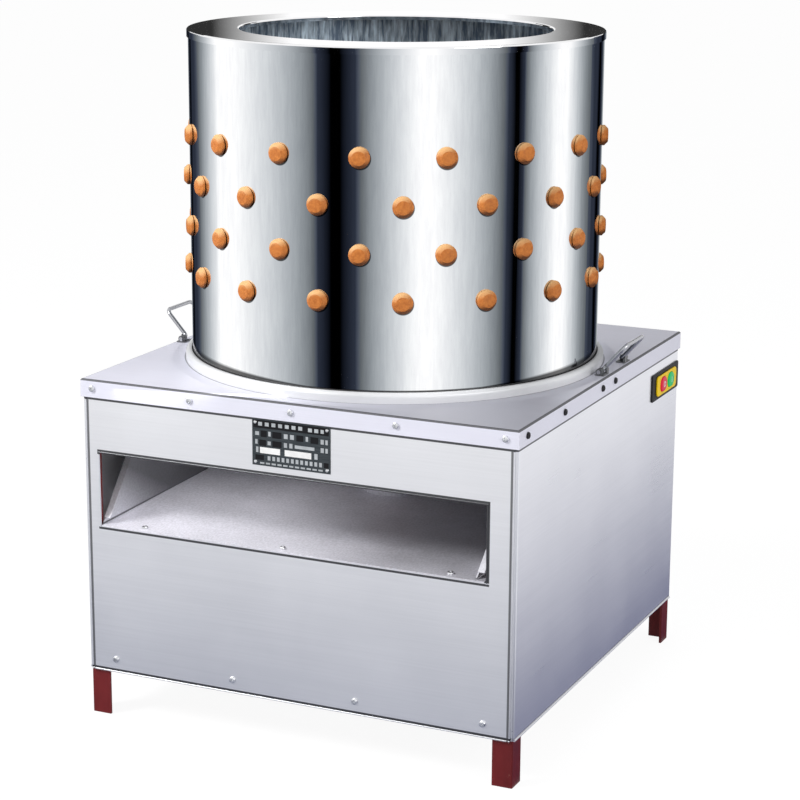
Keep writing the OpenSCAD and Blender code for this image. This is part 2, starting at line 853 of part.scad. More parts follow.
// Hub under the turntable, with a skirt that keeps water off the bearing tube
module turntable_hub() {
    flange_z = disc_z - hub_flange_t;
    boss_z = tube_top + run + seal_h + seat;
    color("#8c8e94") difference() {
        rotate_extrude() polygon([
            [hub_bore_d / 2 + fit, boss_z], [hub_boss_r, boss_z], [hub_boss_r, flange_z - 6],
            [hub_skirt_r, flange_z - 6], [hub_skirt_r, tube_top - 8],
            [hub_skirt_r + hub_skirt_t, tube_top - 8], [hub_skirt_r + hub_skirt_t, flange_z],
            [hub_flange_r, flange_z], [hub_flange_r, disc_z],
            [hub_spigot_r, disc_z], [hub_spigot_r, hub_top], [hub_bore_d / 2 + fit, hub_top],
        ]);
        at_hub_bolts() cylinder(h = 2 * disc_top, r = hub_bolt_d / 2 + fit);
    }
}

module turntable_disc() {
    round_r = 4;
    color("#b8bcc2") difference() {
        rotate_extrude($fn = 180) polygon(concat(
            [
                [hub_spigot_r + fit, disc_z], [disc_r - disc_t, disc_z],
                [disc_r - disc_t, disc_z - disc_skirt], [disc_r, disc_z - disc_skirt],
            ],
            arc(disc_r - round_r, disc_top - round_r, round_r, 0, 90),
            [[hub_spigot_r + fit, disc_top]]
        ));
        at_hub_bolts() cylinder(h = 2 * disc_top, r = hub_bolt_d / 2 + fit);
        at_disc_fingers() cylinder(h = 40, r = neck_d / 2 + neck_gap, center = true);
    }
}

// Six bolts through the turntable and its hub, and the capped nut on the shaft's end
module hub_fasteners() {
    color("#c4c6ca") {
        at_hub_bolts() {
            translate([0, 0, disc_top]) mirror([0, 0, 1])
                hex_bolt(hub_bolt_d, disc_t + hub_flange_t + 10);
            translate([0, 0, disc_z - hub_flange_t - 0.8 * hub_bolt_d]) hex_nut(hub_bolt_d);
        }
        translate([0, 0, hub_top]) difference() {
            union() {
                cylinder(h = nut_h, r = hub_spigot_r - 2, $fn = 6);
                cylinder(h = nut_h + 4, r = thread_d / 2 + 3.5);
            }
            translate([0, 0, -1]) cylinder(h = nut_h + 1, r = thread_d / 2 + fit);
        }
    }
}

module disc_fingers() {
    color("#c87d3c") at_disc_fingers() translate([0, 0, -0.1]) finger(disc_t + 0.2);
}

// Half outline of a pulley's grooved rim from its radius down to the rim's inside
function rim_points(pitch) =
    let (top = pitch + belt_over + 1, deep = pitch + belt_over - groove_deep)
    let (half = belt_top_w / 2 + run)
    let (out = half + tan(groove_half), in = half - groove_deep * tan(groove_half))
    [
        [top, -pulley_w / 2], [top, -out], [deep, -in], [deep, in], [top, out], [top, pulley_w / 2],
    ];

module driven_pulley() {
    hub_r = 27;
    rim_in = driven_r - 19;
    web = 4;
    hole_ring = (rim_in + hub_r) / 2;
    color("#4c4f55") translate([0, 0, belt_z]) difference() {
        rotate_extrude($fn = 120) polygon(concat(
            rim_points(driven_r),
            [
                [rim_in, pulley_w / 2], [rim_in, web], [hub_r, web], [hub_r, pulley_w / 2 + 20],
                [shaft_d / 2 + fit, pulley_w / 2 + 20], [shaft_d / 2 + fit, -pulley_w / 2],
                [hub_r, -pulley_w / 2], [hub_r, -web], [rim_in, -web], [rim_in, -pulley_w / 2],
            ]
        ));
        for (i = [0 : 5]) rotate([0, 0, i * 60]) translate([hole_ring, 0, 0])
            cylinder(h = 3 * web, r = 22, center = true);
    }
}

// Corners of the belt's section: its outer face is wider, and x counts from the pitch line
belt_corners =
    let (half = belt_top_w / 2, foot = half - belt_h * tan(groove_half))
    [
        [belt_over, -half], [belt_over, half],
        [belt_over - belt_h, foot], [belt_over - belt_h, -foot],
    ];

// Centre, radius and direction of each station round the belt's two arcs
function belt_arc(y, r, a0, a1, step) =
    let (n = ceil((a1 - a0) / step))
    [for (i = [0 : n]) [y, r, a0 + (a1 - a0) * i / n]];

belt_stations = concat(
    belt_arc(0, driven_r, 180 - belt_lean, 360 + belt_lean, 5),
    belt_arc(motor_y, drive_r, belt_lean, 180 - belt_lean, 8)
);

// Endless belt: its section carried round both pulleys as one closed skin
module v_belt() {
    n = len(belt_stations);
    points = [for (s = belt_stations, c = belt_corners)
        [(s[1] + c[0]) * cos(s[2]), s[0] + (s[1] + c[0]) * sin(s[2]), c[1]]];
    faces = [for (i = [0 : n - 1], c = [0 : 3])
        let (j = (i + 1) % n, d = (c + 1) % 4)
        [4 * i + c, 4 * j + c, 4 * j + d, 4 * i + d]];
    color("#1f1f22") translate([0, 0, belt_z]) polyhedron(points, faces);
}

module at_motor() {
    translate([0, motor_y, 0]) children();
}

module at_plate_bolts() {
    reach = motor_beam_in + angle_w / 2 + 2;
    at_motor() for (x = [-85, 85], y = [-reach, reach]) translate([x, y, 0]) children();
}

// Slotted plate, so that the motor slides back to tighten the belt
module motor_plate() {
    depth = 2 * (motor_beam_in + angle_w);
    slot = 8;
    color("#6b2426") difference() {
        at_motor() translate([-motor_plate_w / 2, -depth / 2, beam_top])
            cube([motor_plate_w, depth, motor_plate_t]);
        at_motor() for (y = [-slot / 2, slot / 2]) translate([0, y, beam_top - 1])
            cylinder(h = 20, r = motor_shaft_d / 2 + 6);
        at_motor() at_corners(motor_bolt_place) {
            translate([0, 0, beam_top]) cube([motor_bolt_d + 0.8, slot, 40], center = true);
            for (y = [-slot / 2, slot / 2]) translate([0, y, beam_top - 1])
                cylinder(h = 20, r = motor_bolt_d / 2 + 0.4);
        }
        at_plate_bolts() translate([0, 0, beam_top - 1]) cylinder(h = 20, r = motor_bolt_d / 2 + fit);
    }
}

module motor_bolts() {
    color("#8e9096") at_motor() at_corners(motor_bolt_place) translate([0, 0, beam_top])
        hex_bolt(motor_bolt_d, motor_plate_t + 10);
}

// Flanged end shield at the motor's drive end
module motor_end_shield() {
    base = 14;
    color("#5a6068") at_motor() difference() {
        translate([0, 0, motor_face]) rotate_extrude() polygon([
            [motor_shaft_d / 2 + fit, 0], [motor_r - 1, 0], [motor_r - 1, 9], [motor_r + 2, 12],
            [motor_r + 2, shield_h], [motor_r - 10, shield_h], [motor_r - 10, base],
            [motor_shaft_d / 2 + fit, base],
        ]);
        at_corners(motor_bolt_place) translate([0, 0, motor_face - 1])
            cylinder(h = 12, r = motor_bolt_d / 2 + fit);
    }
}

// Finned tube with a web at its upper end
module motor_housing() {
    bore = motor_r - 6;
    web = 4;
    color("#5a6068") at_motor() translate([0, 0, housing_z]) {
        linear_extrude(motor_len) difference() {
            union() {
                circle(r = motor_r);
                for (i = [0 : fin_count - 1]) rotate(i * 360 / fin_count)
                    translate([motor_r - 2, -1]) square([fin_h + 2, 2]);
            }
            circle(r = bore);
        }
        translate([0, 0, motor_len - web]) linear_extrude(web) difference() {
            circle(r = motor_r - 1);
            circle(r = fan_shaft_r + fit);
        }
    }
}

// Laminated core with its end windings
module motor_stator() {
    core_r = motor_r - 6 - fit;
    bore = rotor_r + 0.6;
    low = 14;
    high = motor_len - 18;
    coil = 9;
    color("#b06a34") at_motor() translate([0, 0, housing_z]) rotate_extrude() polygon([
        [bore, low], [bore + 2, low], [bore + 2, low - coil], [core_r - 3, low - coil], [core_r - 3, low],
        [core_r, low], [core_r, high], [core_r - 3, high], [core_r - 3, high + coil],
        [bore + 2, high + coil], [bore + 2, high], [bore, high],
    ]);
}

// Cowl over the fan, with slots in its top
module motor_fan_cover() {
    t = 1.2;
    r = motor_r + 2;
    color("#2c2e33") at_motor() translate([0, 0, housing_top]) difference() {
        rotate_extrude() polygon(concat(
            [[r - t, 0], [r, 0]],
            arc(r - 6, fan_cover_h - 6, 6, 0, 90),
            [[0, fan_cover_h], [0, fan_cover_h - t]],
            arc(r - 6, fan_cover_h - 6, 6 - t, 90, 0)
        ));
        for (i = [0 : 11]) rotate([0, 0, i * 30]) translate([18, -2, fan_cover_h - 3]) cube([30, 4, 6]);
    }
}

// Shaft with the rotor core pressed on it
module motor_rotor() {
    bottom = belt_z - pulley_w / 2 - 4;
    core_low = housing_z + 16;
    core_len = motor_len - 36;
    color("#9a9ca2") at_motor() {
        translate([0, 0, bottom]) cylinder(h = core_low - bottom + 1, r = motor_shaft_d / 2);
        translate([0, 0, core_low]) cylinder(h = core_len, r = rotor_r);
        translate([0, 0, core_low + 1]) cylinder(h = fan_z + fan_h + 2 - core_low, r = fan_shaft_r);
    }
}

module motor_fan() {
    color("#35373c") at_motor() difference() {
        union() {
            translate([0, 0, fan_z]) cylinder(h = fan_h, r = 14);
            translate([0, 0, fan_z]) cylinder(h = 2, r = motor_r - 12);
            for (i = [0 : 7]) rotate([0, 0, i * 45]) translate([12, -1, fan_z])
                cube([motor_r - 26, 2, fan_h]);
        }
        translate([0, 0, fan_z - 1]) cylinder(h = fan_h + 2, r = fan_shaft_r + fit);
    }
}

module drive_pulley() {
    bore = motor_shaft_d / 2 + fit;
    color("#4c4f55") at_motor() translate([0, 0, belt_z]) rotate_extrude() polygon(concat(
        rim_points(drive_r), [[bore, pulley_w / 2], [bore, -pulley_w / 2]]
    ));
}

// Box on the motor's right side with a raised lid
module terminal_box() {
    x = motor_r + fin_h + seat;
    lid = 3;
    color("#3a3d43") at_motor() {
        translate([x, -box_w / 2, box_z]) cube([box_d - lid, box_w, box_h]);
        translate([x + box_d - lid - hair, -box_w / 2 - 2, box_z - 2]) cube([lid + hair, box_w + 4, box_h + 4]);
    }
}

// Capacitor can and its saddle on the motor's left side
module run_capacitor() {
    x = -motor_r - fin_h - seat - cap_r - 1.5;
    color("#c8c9cc") at_motor() {
        translate([x, 0, box_z]) cylinder(h = cap_len, r = cap_r);
        translate([x, 0, box_z + cap_len - 1]) cylinder(h = 6, r = cap_r - 4);
        translate([x + cap_r - 3, -8, box_z + 30]) cube([4.5, 16, 20]);
    }
}

// Direction of a path at one of its points, from the points on either side
function unit(v) = v / norm(v);
function heading(path, i) = unit(path[min(i + 1, len(path) - 1)] - path[max(i - 1, 0)]);

// Smooth points through a path, with a few steps from each point to the next
function smooth(path, steps) = [
    for (i = [0 : len(path) - 2], s = [0 : steps - 1])
        let (a = path[max(i - 1, 0)], b = path[i], c = path[i + 1], d = path[min(i + 2, len(path) - 1)])
        let (t = s / steps)
        b + t / 2 * ((c - a) + t * ((2 * a - 5 * b + 4 * c - d) + t * (3 * b - a - 3 * c + d))),
    path[len(path) - 1],
];

// Round tube along a path, as one closed skin whose ends are square to the two directions given
module tube(path, r, sides, first_way, last_way) {
    rings = len(path);
    points = [for (i = [0 : rings - 1], s = [0 : sides - 1])
        let (way = i == 0 ? first_way : i == rings - 1 ? last_way : heading(path, i))
        let (u = unit(cross(way, [0, 1, 0])), v = cross(way, u))
        path[i] + r * (cos(s * 360 / sides) * u + sin(s * 360 / sides) * v)];
    side_faces = [for (i = [0 : rings - 2], s = [0 : sides - 1])
        let (n = (s + 1) % sides)
        [i * sides + s, (i + 1) * sides + s, (i + 1) * sides + n, i * sides + n]];
    first = [for (s = [0 : sides - 1]) s];
    last = [for (s = [sides - 1 : -1 : 0]) (rings - 1) * sides + s];
    polyhedron(points, concat(side_faces, [first, last]));
}

// Lead from the switch down inside the right panel and across to the motor's box
module motor_lead() {
    color("#1a1a1c") tube(smooth(lead_path, lead_steps), lead_r, lead_sides, [0, 0, -1], [-1, 0, 0]);
}

// Places on the right panel's face at the switch, with +Z outward and X along the panel
module at_switch() {
    translate([panel_x, switch_y, switch_z]) rotate([90, 0, 90]) children();
}

module button_holes() {
    for (s = [-1, 1]) translate([s * button_gap, 0, -1])
        linear_extrude(40) round_rect(button_w + 2 * run, button_h + 2 * run, button_round + run);
}

// Switch body behind the panel, with a pocket for the buttons' travel
module switch_box() {
    pocket_w = 2 * button_gap + button_w + 1;
    pocket_h = button_h + 1;
    pocket_d = button_in + button_travel + 1;
    color("#26272b") at_switch() difference() {
        translate([-switch_box_w / 2, -switch_box_h / 2, -switch_box_d])
            cube([switch_box_w, switch_box_h, switch_box_d]);
        translate([-pocket_w / 2, -pocket_h / 2, -pocket_d]) cube([pocket_w, pocket_h, pocket_d + 1]);
    }
}

module switch_plate() {
    color("#121214") at_switch() difference() {
        linear_extrude(switch_plate_t) round_rect(switch_w, switch_h, 2);
        button_holes();
    }
}

module switch_bezel() {
    color("#f4d21e") at_switch() difference() {
        translate([0, 0, switch_plate_t]) linear_extrude(bezel_t) round_rect(bezel_w, bezel_h, 5);
        button_holes();
    }
}

module button(side) {
    at_switch() translate([side * button_gap, 0, -button_in])
        linear_extrude(button_in + switch_plate_t + bezel_t + button_proud)
            round_rect(button_w, button_h, button_round);
}

module stop_button() { color("#d21e46") button(-1); }
module start_button() { color("#14be6e") button(1); }

// Cable gland through the rear panel, low on the right
module cable_gland() {
    color("#1e1e20") translate([gland_x, panel_y, gland_z]) rotate([-90, 0, 0]) difference() {
        union() {
            translate([0, 0, -14]) cylinder(h = 16, r = gland_thread_r);
            cylinder(h = 5, r = 13, $fn = 6);
            translate([0, 0, 4]) cylinder(h = 8, r = 10);
            translate([0, 0, -sheet - 4]) cylinder(h = 4, r = 13, $fn = 6);
        }
        translate([0, 0, -20]) cylinder(h = 40, r = gland_bore_r);
    }
}

// Places of the rating plate's rivets, with +Z outward
module at_rivets() {
    for (x = [-1, 1], z = [-1, 1])
        translate([x * (label_w / 2 - 4), -panel_y - label_t, label_z + z * (label_h / 2 - 4)])
            rotate([90, 0, 0]) children();
}

module rating_plate() {
    color("#4a5258") difference() {
        translate([-label_w / 2, -panel_y - label_t, label_z - label_h / 2])
            cube([label_w, label_t, label_h]);
        at_rivets() cylinder(h = 10, r = rivet_r / 2 + fit, center = true);
    }
}

module rating_plate_rivets() {
    color("#d8d8dc") at_rivets() rotate_extrude() polygon([
        [0, -label_t - sheet - 0.5], [rivet_r / 2, -label_t - sheet - 0.5], [rivet_r / 2, 0],
        [rivet_r, 0], [rivet_r * 0.8, 0.8], [0, 1.1],
    ]);
}

// Places of a right handle's frame: pin axis on the origin along Y, with +Z up the handle
module at_handle(middle, lean) {
    translate([handle_x, middle, deck_z + pin_h]) rotate([0, lean, 0]) children();
}

// Quarter bend of the rod in the YZ plane about the origin
module rod_bend(bend, turn) {
    rotate([90, 0, 90]) rotate([0, 0, turn]) rotate_extrude(angle = 90) translate([bend, 0]) circle(r = rod_r);
}

// U-shaped rod with its two ends turned outward as pins
module handle_rod() {
    half = handle_len / 2;
    for (s = [0, 1]) mirror([0, s, 0]) {
        translate([0, half + foot_bend, 0]) rotate([-90, 0, 0]) cylinder(h = pin_len, r = rod_r);
        translate([0, half + foot_bend, foot_bend]) rod_bend(foot_bend, 180);
        translate([0, half, foot_bend]) cylinder(h = handle_h - foot_bend - grip_bend, r = rod_r);
        translate([0, half - grip_bend, handle_h - grip_bend]) rod_bend(grip_bend, 0);
    }
    translate([0, half - grip_bend, handle_h]) rotate([90, 0, 0])
        cylinder(h = handle_len - 2 * grip_bend, r = rod_r);
}

module right_handle() { color("#d0d2d6") at_handle(right_handle_y, handle_lean) handle_rod(); }
module left_handle() { color("#d0d2d6") mirror([1, 0, 0]) at_handle(left_handle_y, handle_lean) handle_rod(); }

// Saddle round one pin, with a post beside it that stops the leg at its lean
module handle_clip() {
    stop_in = rod_r + 1.5;
    stop_out = rod_r + 4;
    stop_w = 6;
    base_y = handle_len / 2 - stop_w / 2;
    gap = (rod_r + run) / cos(handle_lean);
    difference() {
        union() {
            translate([-clip_r - 1, base_y, -pin_h])
                cube([clip_r + 1 + stop_out, clip_start + clip_w - base_y, clip_base_t]);
            translate([-clip_r + 0.5, clip_start, -pin_h]) cube([2 * clip_r - 1, clip_w, pin_h]);
            translate([0, clip_start, 0]) rotate([-90, 0, 0]) cylinder(h = clip_w, r = clip_r);
            translate([0, base_y + stop_w, 0]) rotate([90, 0, 0]) linear_extrude(stop_w) polygon([
                [stop_in, -pin_h], [stop_out, -pin_h],
                [stop_out, (stop_out - gap) / tan(handle_lean)],
                [stop_in, (stop_in - gap) / tan(handle_lean)],
            ]);
        }
        translate([0, clip_start - 1, 0]) rotate([-90, 0, 0]) cylinder(h = clip_w + 2, r = rod_r + fit);
    }
}

module handle_clips() {
    color("#3a3a3e") for (s = [0, 1]) {
        at_handle(right_handle_y, 0) mirror([0, s, 0]) handle_clip();
        mirror([1, 0, 0]) at_handle(left_handle_y, 0) mirror([0, s, 0]) handle_clip();
    }
}

front_left_leg();
front_right_leg();
rear_left_leg();
rear_right_leg();
top_rails();
bottom_rails();
cross_beams();
front_panel();
rear_panel();
left_panel();
right_panel();
deck();
deck_screws();
side_screws();
panel_screws();
chute_floor();
chute_left_wall();
chute_right_wall();
chute_screws();
drum_shell();
drum_rim();
drum_foot_ring();
drum_bolts();
wall_fingers();
bearing_tube();
bearing_outer_rings();
bearing_balls();
beam_bolts();
motor_plate();
motor_end_shield();
motor_housing();
motor_stator();
motor_fan_cover();
motor_bolts();
terminal_box();
run_capacitor();
motor_lead();
v_belt();
switch_box();
switch_plate();
switch_bezel();
start_button();
stop_button();
cable_gland();
rating_plate();
rating_plate_rivets();
handle_clips();
left_handle();
right_handle();
main_shaft();
bearing_inner_rings();
shaft_seal();
turntable_hub();
turntable_disc();
hub_fasteners();
disc_fingers();
driven_pulley();
motor_rotor();
motor_fan();
drive_pulley();
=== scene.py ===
"""Looks of the drum plucker: finishes for its frame, finer fittings, a plain studio and the camera."""

import json
import math

import bmesh
import bpy
from mathutils import Matrix, Vector

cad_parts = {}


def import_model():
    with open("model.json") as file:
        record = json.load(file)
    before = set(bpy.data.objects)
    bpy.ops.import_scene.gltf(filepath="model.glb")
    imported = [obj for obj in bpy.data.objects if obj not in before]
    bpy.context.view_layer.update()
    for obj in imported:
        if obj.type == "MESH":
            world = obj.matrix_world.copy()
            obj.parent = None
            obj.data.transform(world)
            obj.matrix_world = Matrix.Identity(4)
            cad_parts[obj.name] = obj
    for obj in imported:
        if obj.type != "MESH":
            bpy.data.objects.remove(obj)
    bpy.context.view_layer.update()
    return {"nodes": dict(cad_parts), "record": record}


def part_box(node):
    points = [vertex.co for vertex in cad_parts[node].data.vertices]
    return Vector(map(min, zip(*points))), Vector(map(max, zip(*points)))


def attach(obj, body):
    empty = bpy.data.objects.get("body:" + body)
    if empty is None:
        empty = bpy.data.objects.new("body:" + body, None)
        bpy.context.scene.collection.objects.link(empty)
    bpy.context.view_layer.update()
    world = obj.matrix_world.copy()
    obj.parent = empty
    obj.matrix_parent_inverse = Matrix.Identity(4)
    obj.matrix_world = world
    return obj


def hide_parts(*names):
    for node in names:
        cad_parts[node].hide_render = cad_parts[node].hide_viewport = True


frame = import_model()

# Places read from the frame, in metres
deck_low, deck_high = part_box("deck")
disc_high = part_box("turntable_disc")[1]
foot_ring_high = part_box("drum_foot_ring")[1]
panel_low, panel_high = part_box("right_panel")
front_low, front_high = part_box("front_panel")
plate_low, plate_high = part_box("rating_plate")
DECK_TOP = deck_high.z
LIP_FOOT = deck_low.z
DECK_X = deck_high.x
DECK_Y = deck_high.y
DRUM_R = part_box("drum_shell")[1].x
DISC_R = disc_high.x
FOOT_RING_R = foot_ring_high.x
FOOT_RING_TOP = foot_ring_high.z
UP = Vector((0, 0, 1))
WHITE = (1, 1, 1)

# Sites of the fingers on the drum wall and the turntable
WALL_ROWS = 4
WALL_PER_ROW = 16
WALL_STEP = 2 * math.pi / WALL_PER_ROW
WALL_FIRST_ROW = DECK_TOP + 0.115
WALL_ROW_PITCH = 0.0547
WALL_TURN = math.radians(4.2)
WALL_SHEET = 0.0012
DISC_SHEET = 0.003
DISC_RINGS = ((6, 0.149), (12, 0.089), (18, 0.029))
SEAT_GAP = 0.0001
WALL_SEAT = DRUM_R + SEAT_GAP
DISC_SEAT = disc_high.z - DISC_SHEET - SEAT_GAP

# Shape of a finger
HEAD_R = 0.01225
HEAD_T = 0.0075
HEAD_EDGE = 0.003
HEAD_FACE_R = 0.0078
HEAD_CROWN = 0.0003
HEAD_CHAMFER = 0.0006
HEAD_BEVEL = ((0.12, 0.05), (0.88, 0.80), (0.97, 0.91), (1, 1))
NECK_R = 0.008
WALL_NECK = WALL_SHEET + 0.0005
DISC_NECK = DISC_SHEET + 0.0002
FINGER_R = 0.0105
FINGER_COLLAR = ((0.0002, 0), (0.0005, 0.0008), (0, 0.004))
FINGER_TIP_R = 0.0065
FINGER_LENGTH = 0.079
FINGER_RIBS = 10
FINGER_SIDES = 20
RIBS_FROM = 0.006
RIB_DEPTH = 0.001
RIB_STEPS = 4
DOME_STEPS = 5

# Painted shadow on the wall round each head: its shift to the right and down, and its reach past the head
SHADOW_RIGHT = 0.0006
SHADOW_DOWN = 0.0014
SHADOW_OUT = 0.0006

# Screws, with the rings of a head as shares of its radius and height
SCREW_R = 0.004
SCREW_H = 0.0026
SCREW_SIDES = 24
SCREW_RINGS = ((0.66, 1), (0.9, 0.8), (1, 0.35), (1, 0))
CROSS_HALF = 0.14 * SCREW_R
CROSS_REACH = 0.56 * SCREW_R
CROSS_DEEP = 0.55 * SCREW_H
CROSS_TAPER = 0.75
SIDE_SCREW_STEPS = (0.0245, 0.1395, 0.2665, 0.3105)
CHUTE_SCREW_SHARES = (0, 0.465, 1)

# Largest random turn of a finger or a screw about its axis, and the seed
RANDOM_TURN = math.pi
RANDOM_SEED = 7

# Window in the front panel, and the slope of the chute behind it
WINDOW_LEFT = -0.2575
WINDOW_RIGHT = 0.2435
WINDOW_TOP = 0.3325
WINDOW_SILL = 0.241
CHUTE_SLOPE = math.tan(math.radians(1))

# Painted dark reflection along folds and painted shade along seams and edges of the sheets: their widths,
# depth and colour
FOLD = 0.0026
SEAM = 0.0028
LINE = 0.0024
BEAD = 0.0022
RING_LINE = 0.0016
SOFT_EDGE = 0.0003
LINES_DARK = 0.93
FRONT_EDGES_DARK = 0.85
SIDE_HEMS_DARK = 0.35
RING_LINE_DARK = 0.6
LINE_COLOUR = (0.035, 0.036, 0.04)

# Painted shade on the deck's front right corner and in the chute: from where to where it deepens, and how
# deep it is
DECK_SKIN = (DECK_TOP - 0.002, DECK_TOP - 0.001)
DECK_SHADE_ACROSS = (0.0, 0.14)
DECK_SHADE_ALONG = (0.06, -0.16)
DECK_SHADE_DEPTH = (0, 0.5)
WALL_SHADE_LEAN = 0.5
WALL_SHADE_REACH = (0.12, 0.19)
WALL_SHADE_DEPTH = (0.03, 0.87)
WALL_FOOT_SHADE = (WINDOW_SILL + 0.0035, WINDOW_SILL + 0.0045)
WALL_FOOT_SHADE_DEPTH = (0.9, 0)
CHUTE_SHADE_LEAN = 0.6
CHUTE_SHADE_REACH = (-0.36, 0.08)
CHUTE_SHADE_DEPTH = (0.0, 0.3)

# Painted shade at the drum's foot: its place, and its height in front and at the sides. Painted shade on the
# foot ring
FOOT_SHADE_ASIDE = (0.4 * DRUM_R, DRUM_R)
FOOT_SHADE_HEIGHT = (0.0022, 0.012)
FOOT_SHADE_LOW = (FOOT_RING_TOP - 0.003, FOOT_RING_TOP - 0.002)
FOOT_SHADE_FADE_FROM = 0.6
RING_SHADE_REACH = (DRUM_R, 0.45 * DRUM_R + 0.55 * FOOT_RING_R)
RING_SHADE_DEPTH = (0.45, 0)

# Rating plate: fields as left, low, right and high in hundredths of its width and height
HEADER_MARKS = [(8 + 8.6 * i, 86, 13 + 8.6 * i, 94) for i in range(7)]
HEADER_MARKS += [(72, 85, 77, 93), (80, 85, 85, 93), (88, 85, 92, 93)]
SMALL_MARKS = [
    (4, 65, 9, 73), (21, 65, 24, 75), (41, 64, 46, 74), (49, 64, 54, 74),
    (69, 64, 72, 74), (88, 62, 92, 72), (94, 62, 97, 72), (4, 46, 7, 56),
    (20, 46, 24, 54), (41, 45, 45, 55), (48, 45, 52, 55), (55, 46, 80, 53),
    (88, 44, 92, 54), (94, 44, 97, 54), (80, 28, 84, 40), (5, 28, 8, 40),
]
FOOT_MARKS = [(20 + 6 * i, 13, 23.5 + 6 * i, 22) for i in range(12)]
FOOT_MARKS += [(10 + 7.5 * i, 4, 15.5 + 7.5 * i, 7.5) for i in range(11)]
BLACK_BOXES = [
    (1.5, 81, 98.5, 98), (11, 62, 19, 76), (26, 62, 38, 76), (57, 62, 66, 75), (75, 61, 85, 75),
    (9, 43, 18, 56), (26, 43, 38, 56), (4, 12, 15, 23), (92, 12, 98, 23),
]
PALE_BOXES = [(10, 27, 36, 40), (42, 27, 76, 40)]
BOX_T = 0.0001
MARK_T = 0.0002

# Switch: corners, gap round each button, inset and rise of a button's rings from its front edge, marks
PLATE_ROUND = 0.003
PLATE_EDGE = 0.0005
BEZEL_ROUND = 0.006
BEZEL_EDGE = 0.0007
KEY_ROUND = 0.009
KEY_GAP = 0.0003
KEY_CROWN = 0.0006
KEY_RINGS = ((0, -0.0014), (0.0003, -0.0006), (0.0010, 0), (0.0028, 0.0004), (0.0055, KEY_CROWN))
STOP_MARK_IN = 0.0026
STOP_MARK_OUT = 0.0037
STOP_MARK_SIDES = 32
START_MARK = (-0.0006, -0.0036, 0.0006, 0.0036)

# Steps of rounded edges, and the angles in degrees from which an edge is sharp
CORNER_STEPS = 6
BEVEL_STEPS = 3
SHARP_FROM = 35
ROUNDED_SHARP_FROM = 40

# Camera
CAMERA_PLACE = Vector((1.1690, -2.5368, 1.0590))
CAMERA_AZIMUTH = math.radians(24.6)
CAMERA_ELEVATION = math.radians(14.02)
CAMERA_ROLL = math.radians(0.33)
CAMERA_LENS = 103.62
CAMERA_FAR = 50
SENSOR_WIDTH = 36.0
SIDEWAYS = Vector((math.cos(CAMERA_AZIMUTH), math.sin(CAMERA_AZIMUTH), 0))

# Painted highlight and painted shade on rubber, the side that the painted light comes from, and how far faces
# turn to and from it
HIGHLIGHT_DEPTH = (0.0, 0.8)
HIGHLIGHT_TURN = (0.22, 0.7)
RUBBER_SHADE_DEPTH = (0.0, 0.9)
RUBBER_SHADE_TURN = (-0.25, -0.6)
LIGHT_FROM = Vector((0, 0, 0.97)) - 0.25 * SIDEWAYS

# Reflection ring, with flags as start and end in degrees, then width and power of the fade before and after
RING_R = 0.275
RING_LOW = DECK_TOP + 0.0005
RING_HIGH = 0.824
RING_STEPS = 128
RING_GLOW = 1.1
RING_PALE = (0.80, 0.91, 1.0)
FLAG_CORE = 0.25
FLAG_SHOULDER = 0.032
FLAG_TONE = (0.68, 0.88, 1.5)
FLAG_TONE_TO = 0.14
FLAGS = (
    (2.3, 12.9, 31.3, 0.65, 18.7, 0.9),
    (58.7, 63.9, 23.2, 0.78, 14.9, 0.7),
    (109.9, 119, 26.3, 2, 22, 1),
    (172, 180, 22, 1, 22, 1),
    (228, 236, 22, 1, 22, 1),
    (285.5, 293.9, 22, 1, 27.8, 1.95),
)

# Rim card: its place and size, and the fade of its glow to both sides
CARD_AWAY = 1.2
CARD_HALF = 0.8
CARD_LOW = 0.80
CARD_HIGH = 1.5
CARD_FADE = (0.18, 0.32)
CARD_GLOW = (1.05, 0.03)

# Floor: its size, its look to the camera, and the shade painted on it for mirrors beside and before the
# cabinet
FLOOR_REACH = 14.0
FLOOR_Z = -0.0005
FLOOR_MATT = (0.86, 0.86, 0.87)
FLOOR_SEEN = (1.09, 1.09, 1.09)
FLOOR_GLOW_SHARE = 0.85
SIDE_SHADE_REACH = 0.58
SIDE_SHADE = (0.035, 0.048, 0.17)
SIDE_OPEN = (1.06, 1.06, 1.08)
FRONT_SHADE_REACH = 1.53
FRONT_SHADE = (0.32, 0.34, 0.42)

# Strength of the sky as light and as seen
SKY_STRENGTH = (0.42, 1.0)

# Lamps: name, place, target, size in metres, power in watts and spread in degrees
LAMPS = (
    ("Key", (-1.7, -2.0, 2.2), (0, 0, 0.5), 0.9, 66, 180),
    ("Side", (2.2, -0.9, 1.3), (0.28, 0, 0.4), 1.0, 17, 180),
    ("Chute", (-0.15, -0.19, 0.40), (-0.14, -0.22, 0.25), 0.22, 0.2, 160),
)


# Node trees

def wire(tree, kind, sockets=None, **settings):
    """Adds a node, sets its settings, and fills its sockets with values or links."""
    made = tree.nodes.new(kind)
    for name, value in settings.items():
        setattr(made, name, value)
    for name, value in (sockets or {}).items():
        if isinstance(value, bpy.types.NodeSocket):
            tree.links.new(value, made.inputs[name])
        else:
            made.inputs[name].default_value = value
    return made


def calc(tree, operation, first, second=0.0):
    return wire(tree, "ShaderNodeMath", {0: first, 1: second}, operation=operation).outputs[0]


def joined(tree, operation, *values):
    """One operation over several values in turn."""
    result = values[0]
    for value in values[1:]:
        result = calc(tree, operation, result, value)
    return result


def wrapped(tree, value, half):
    """Value brought between minus half and half by whole turns."""
    return wire(tree, "ShaderNodeMath", {0: value, 1: half, 2: -half}, operation="WRAP").outputs[0]


def vector_calc(tree, operation, first, second=(0, 0, 0)):
    """Vector operation: a number from a length or a dot product, a vector from any other."""
    made = wire(tree, "ShaderNodeVectorMath", {0: first, 1: second}, operation=operation)
    return made.outputs["Value" if operation in ("LENGTH", "DOT_PRODUCT") else "Vector"]


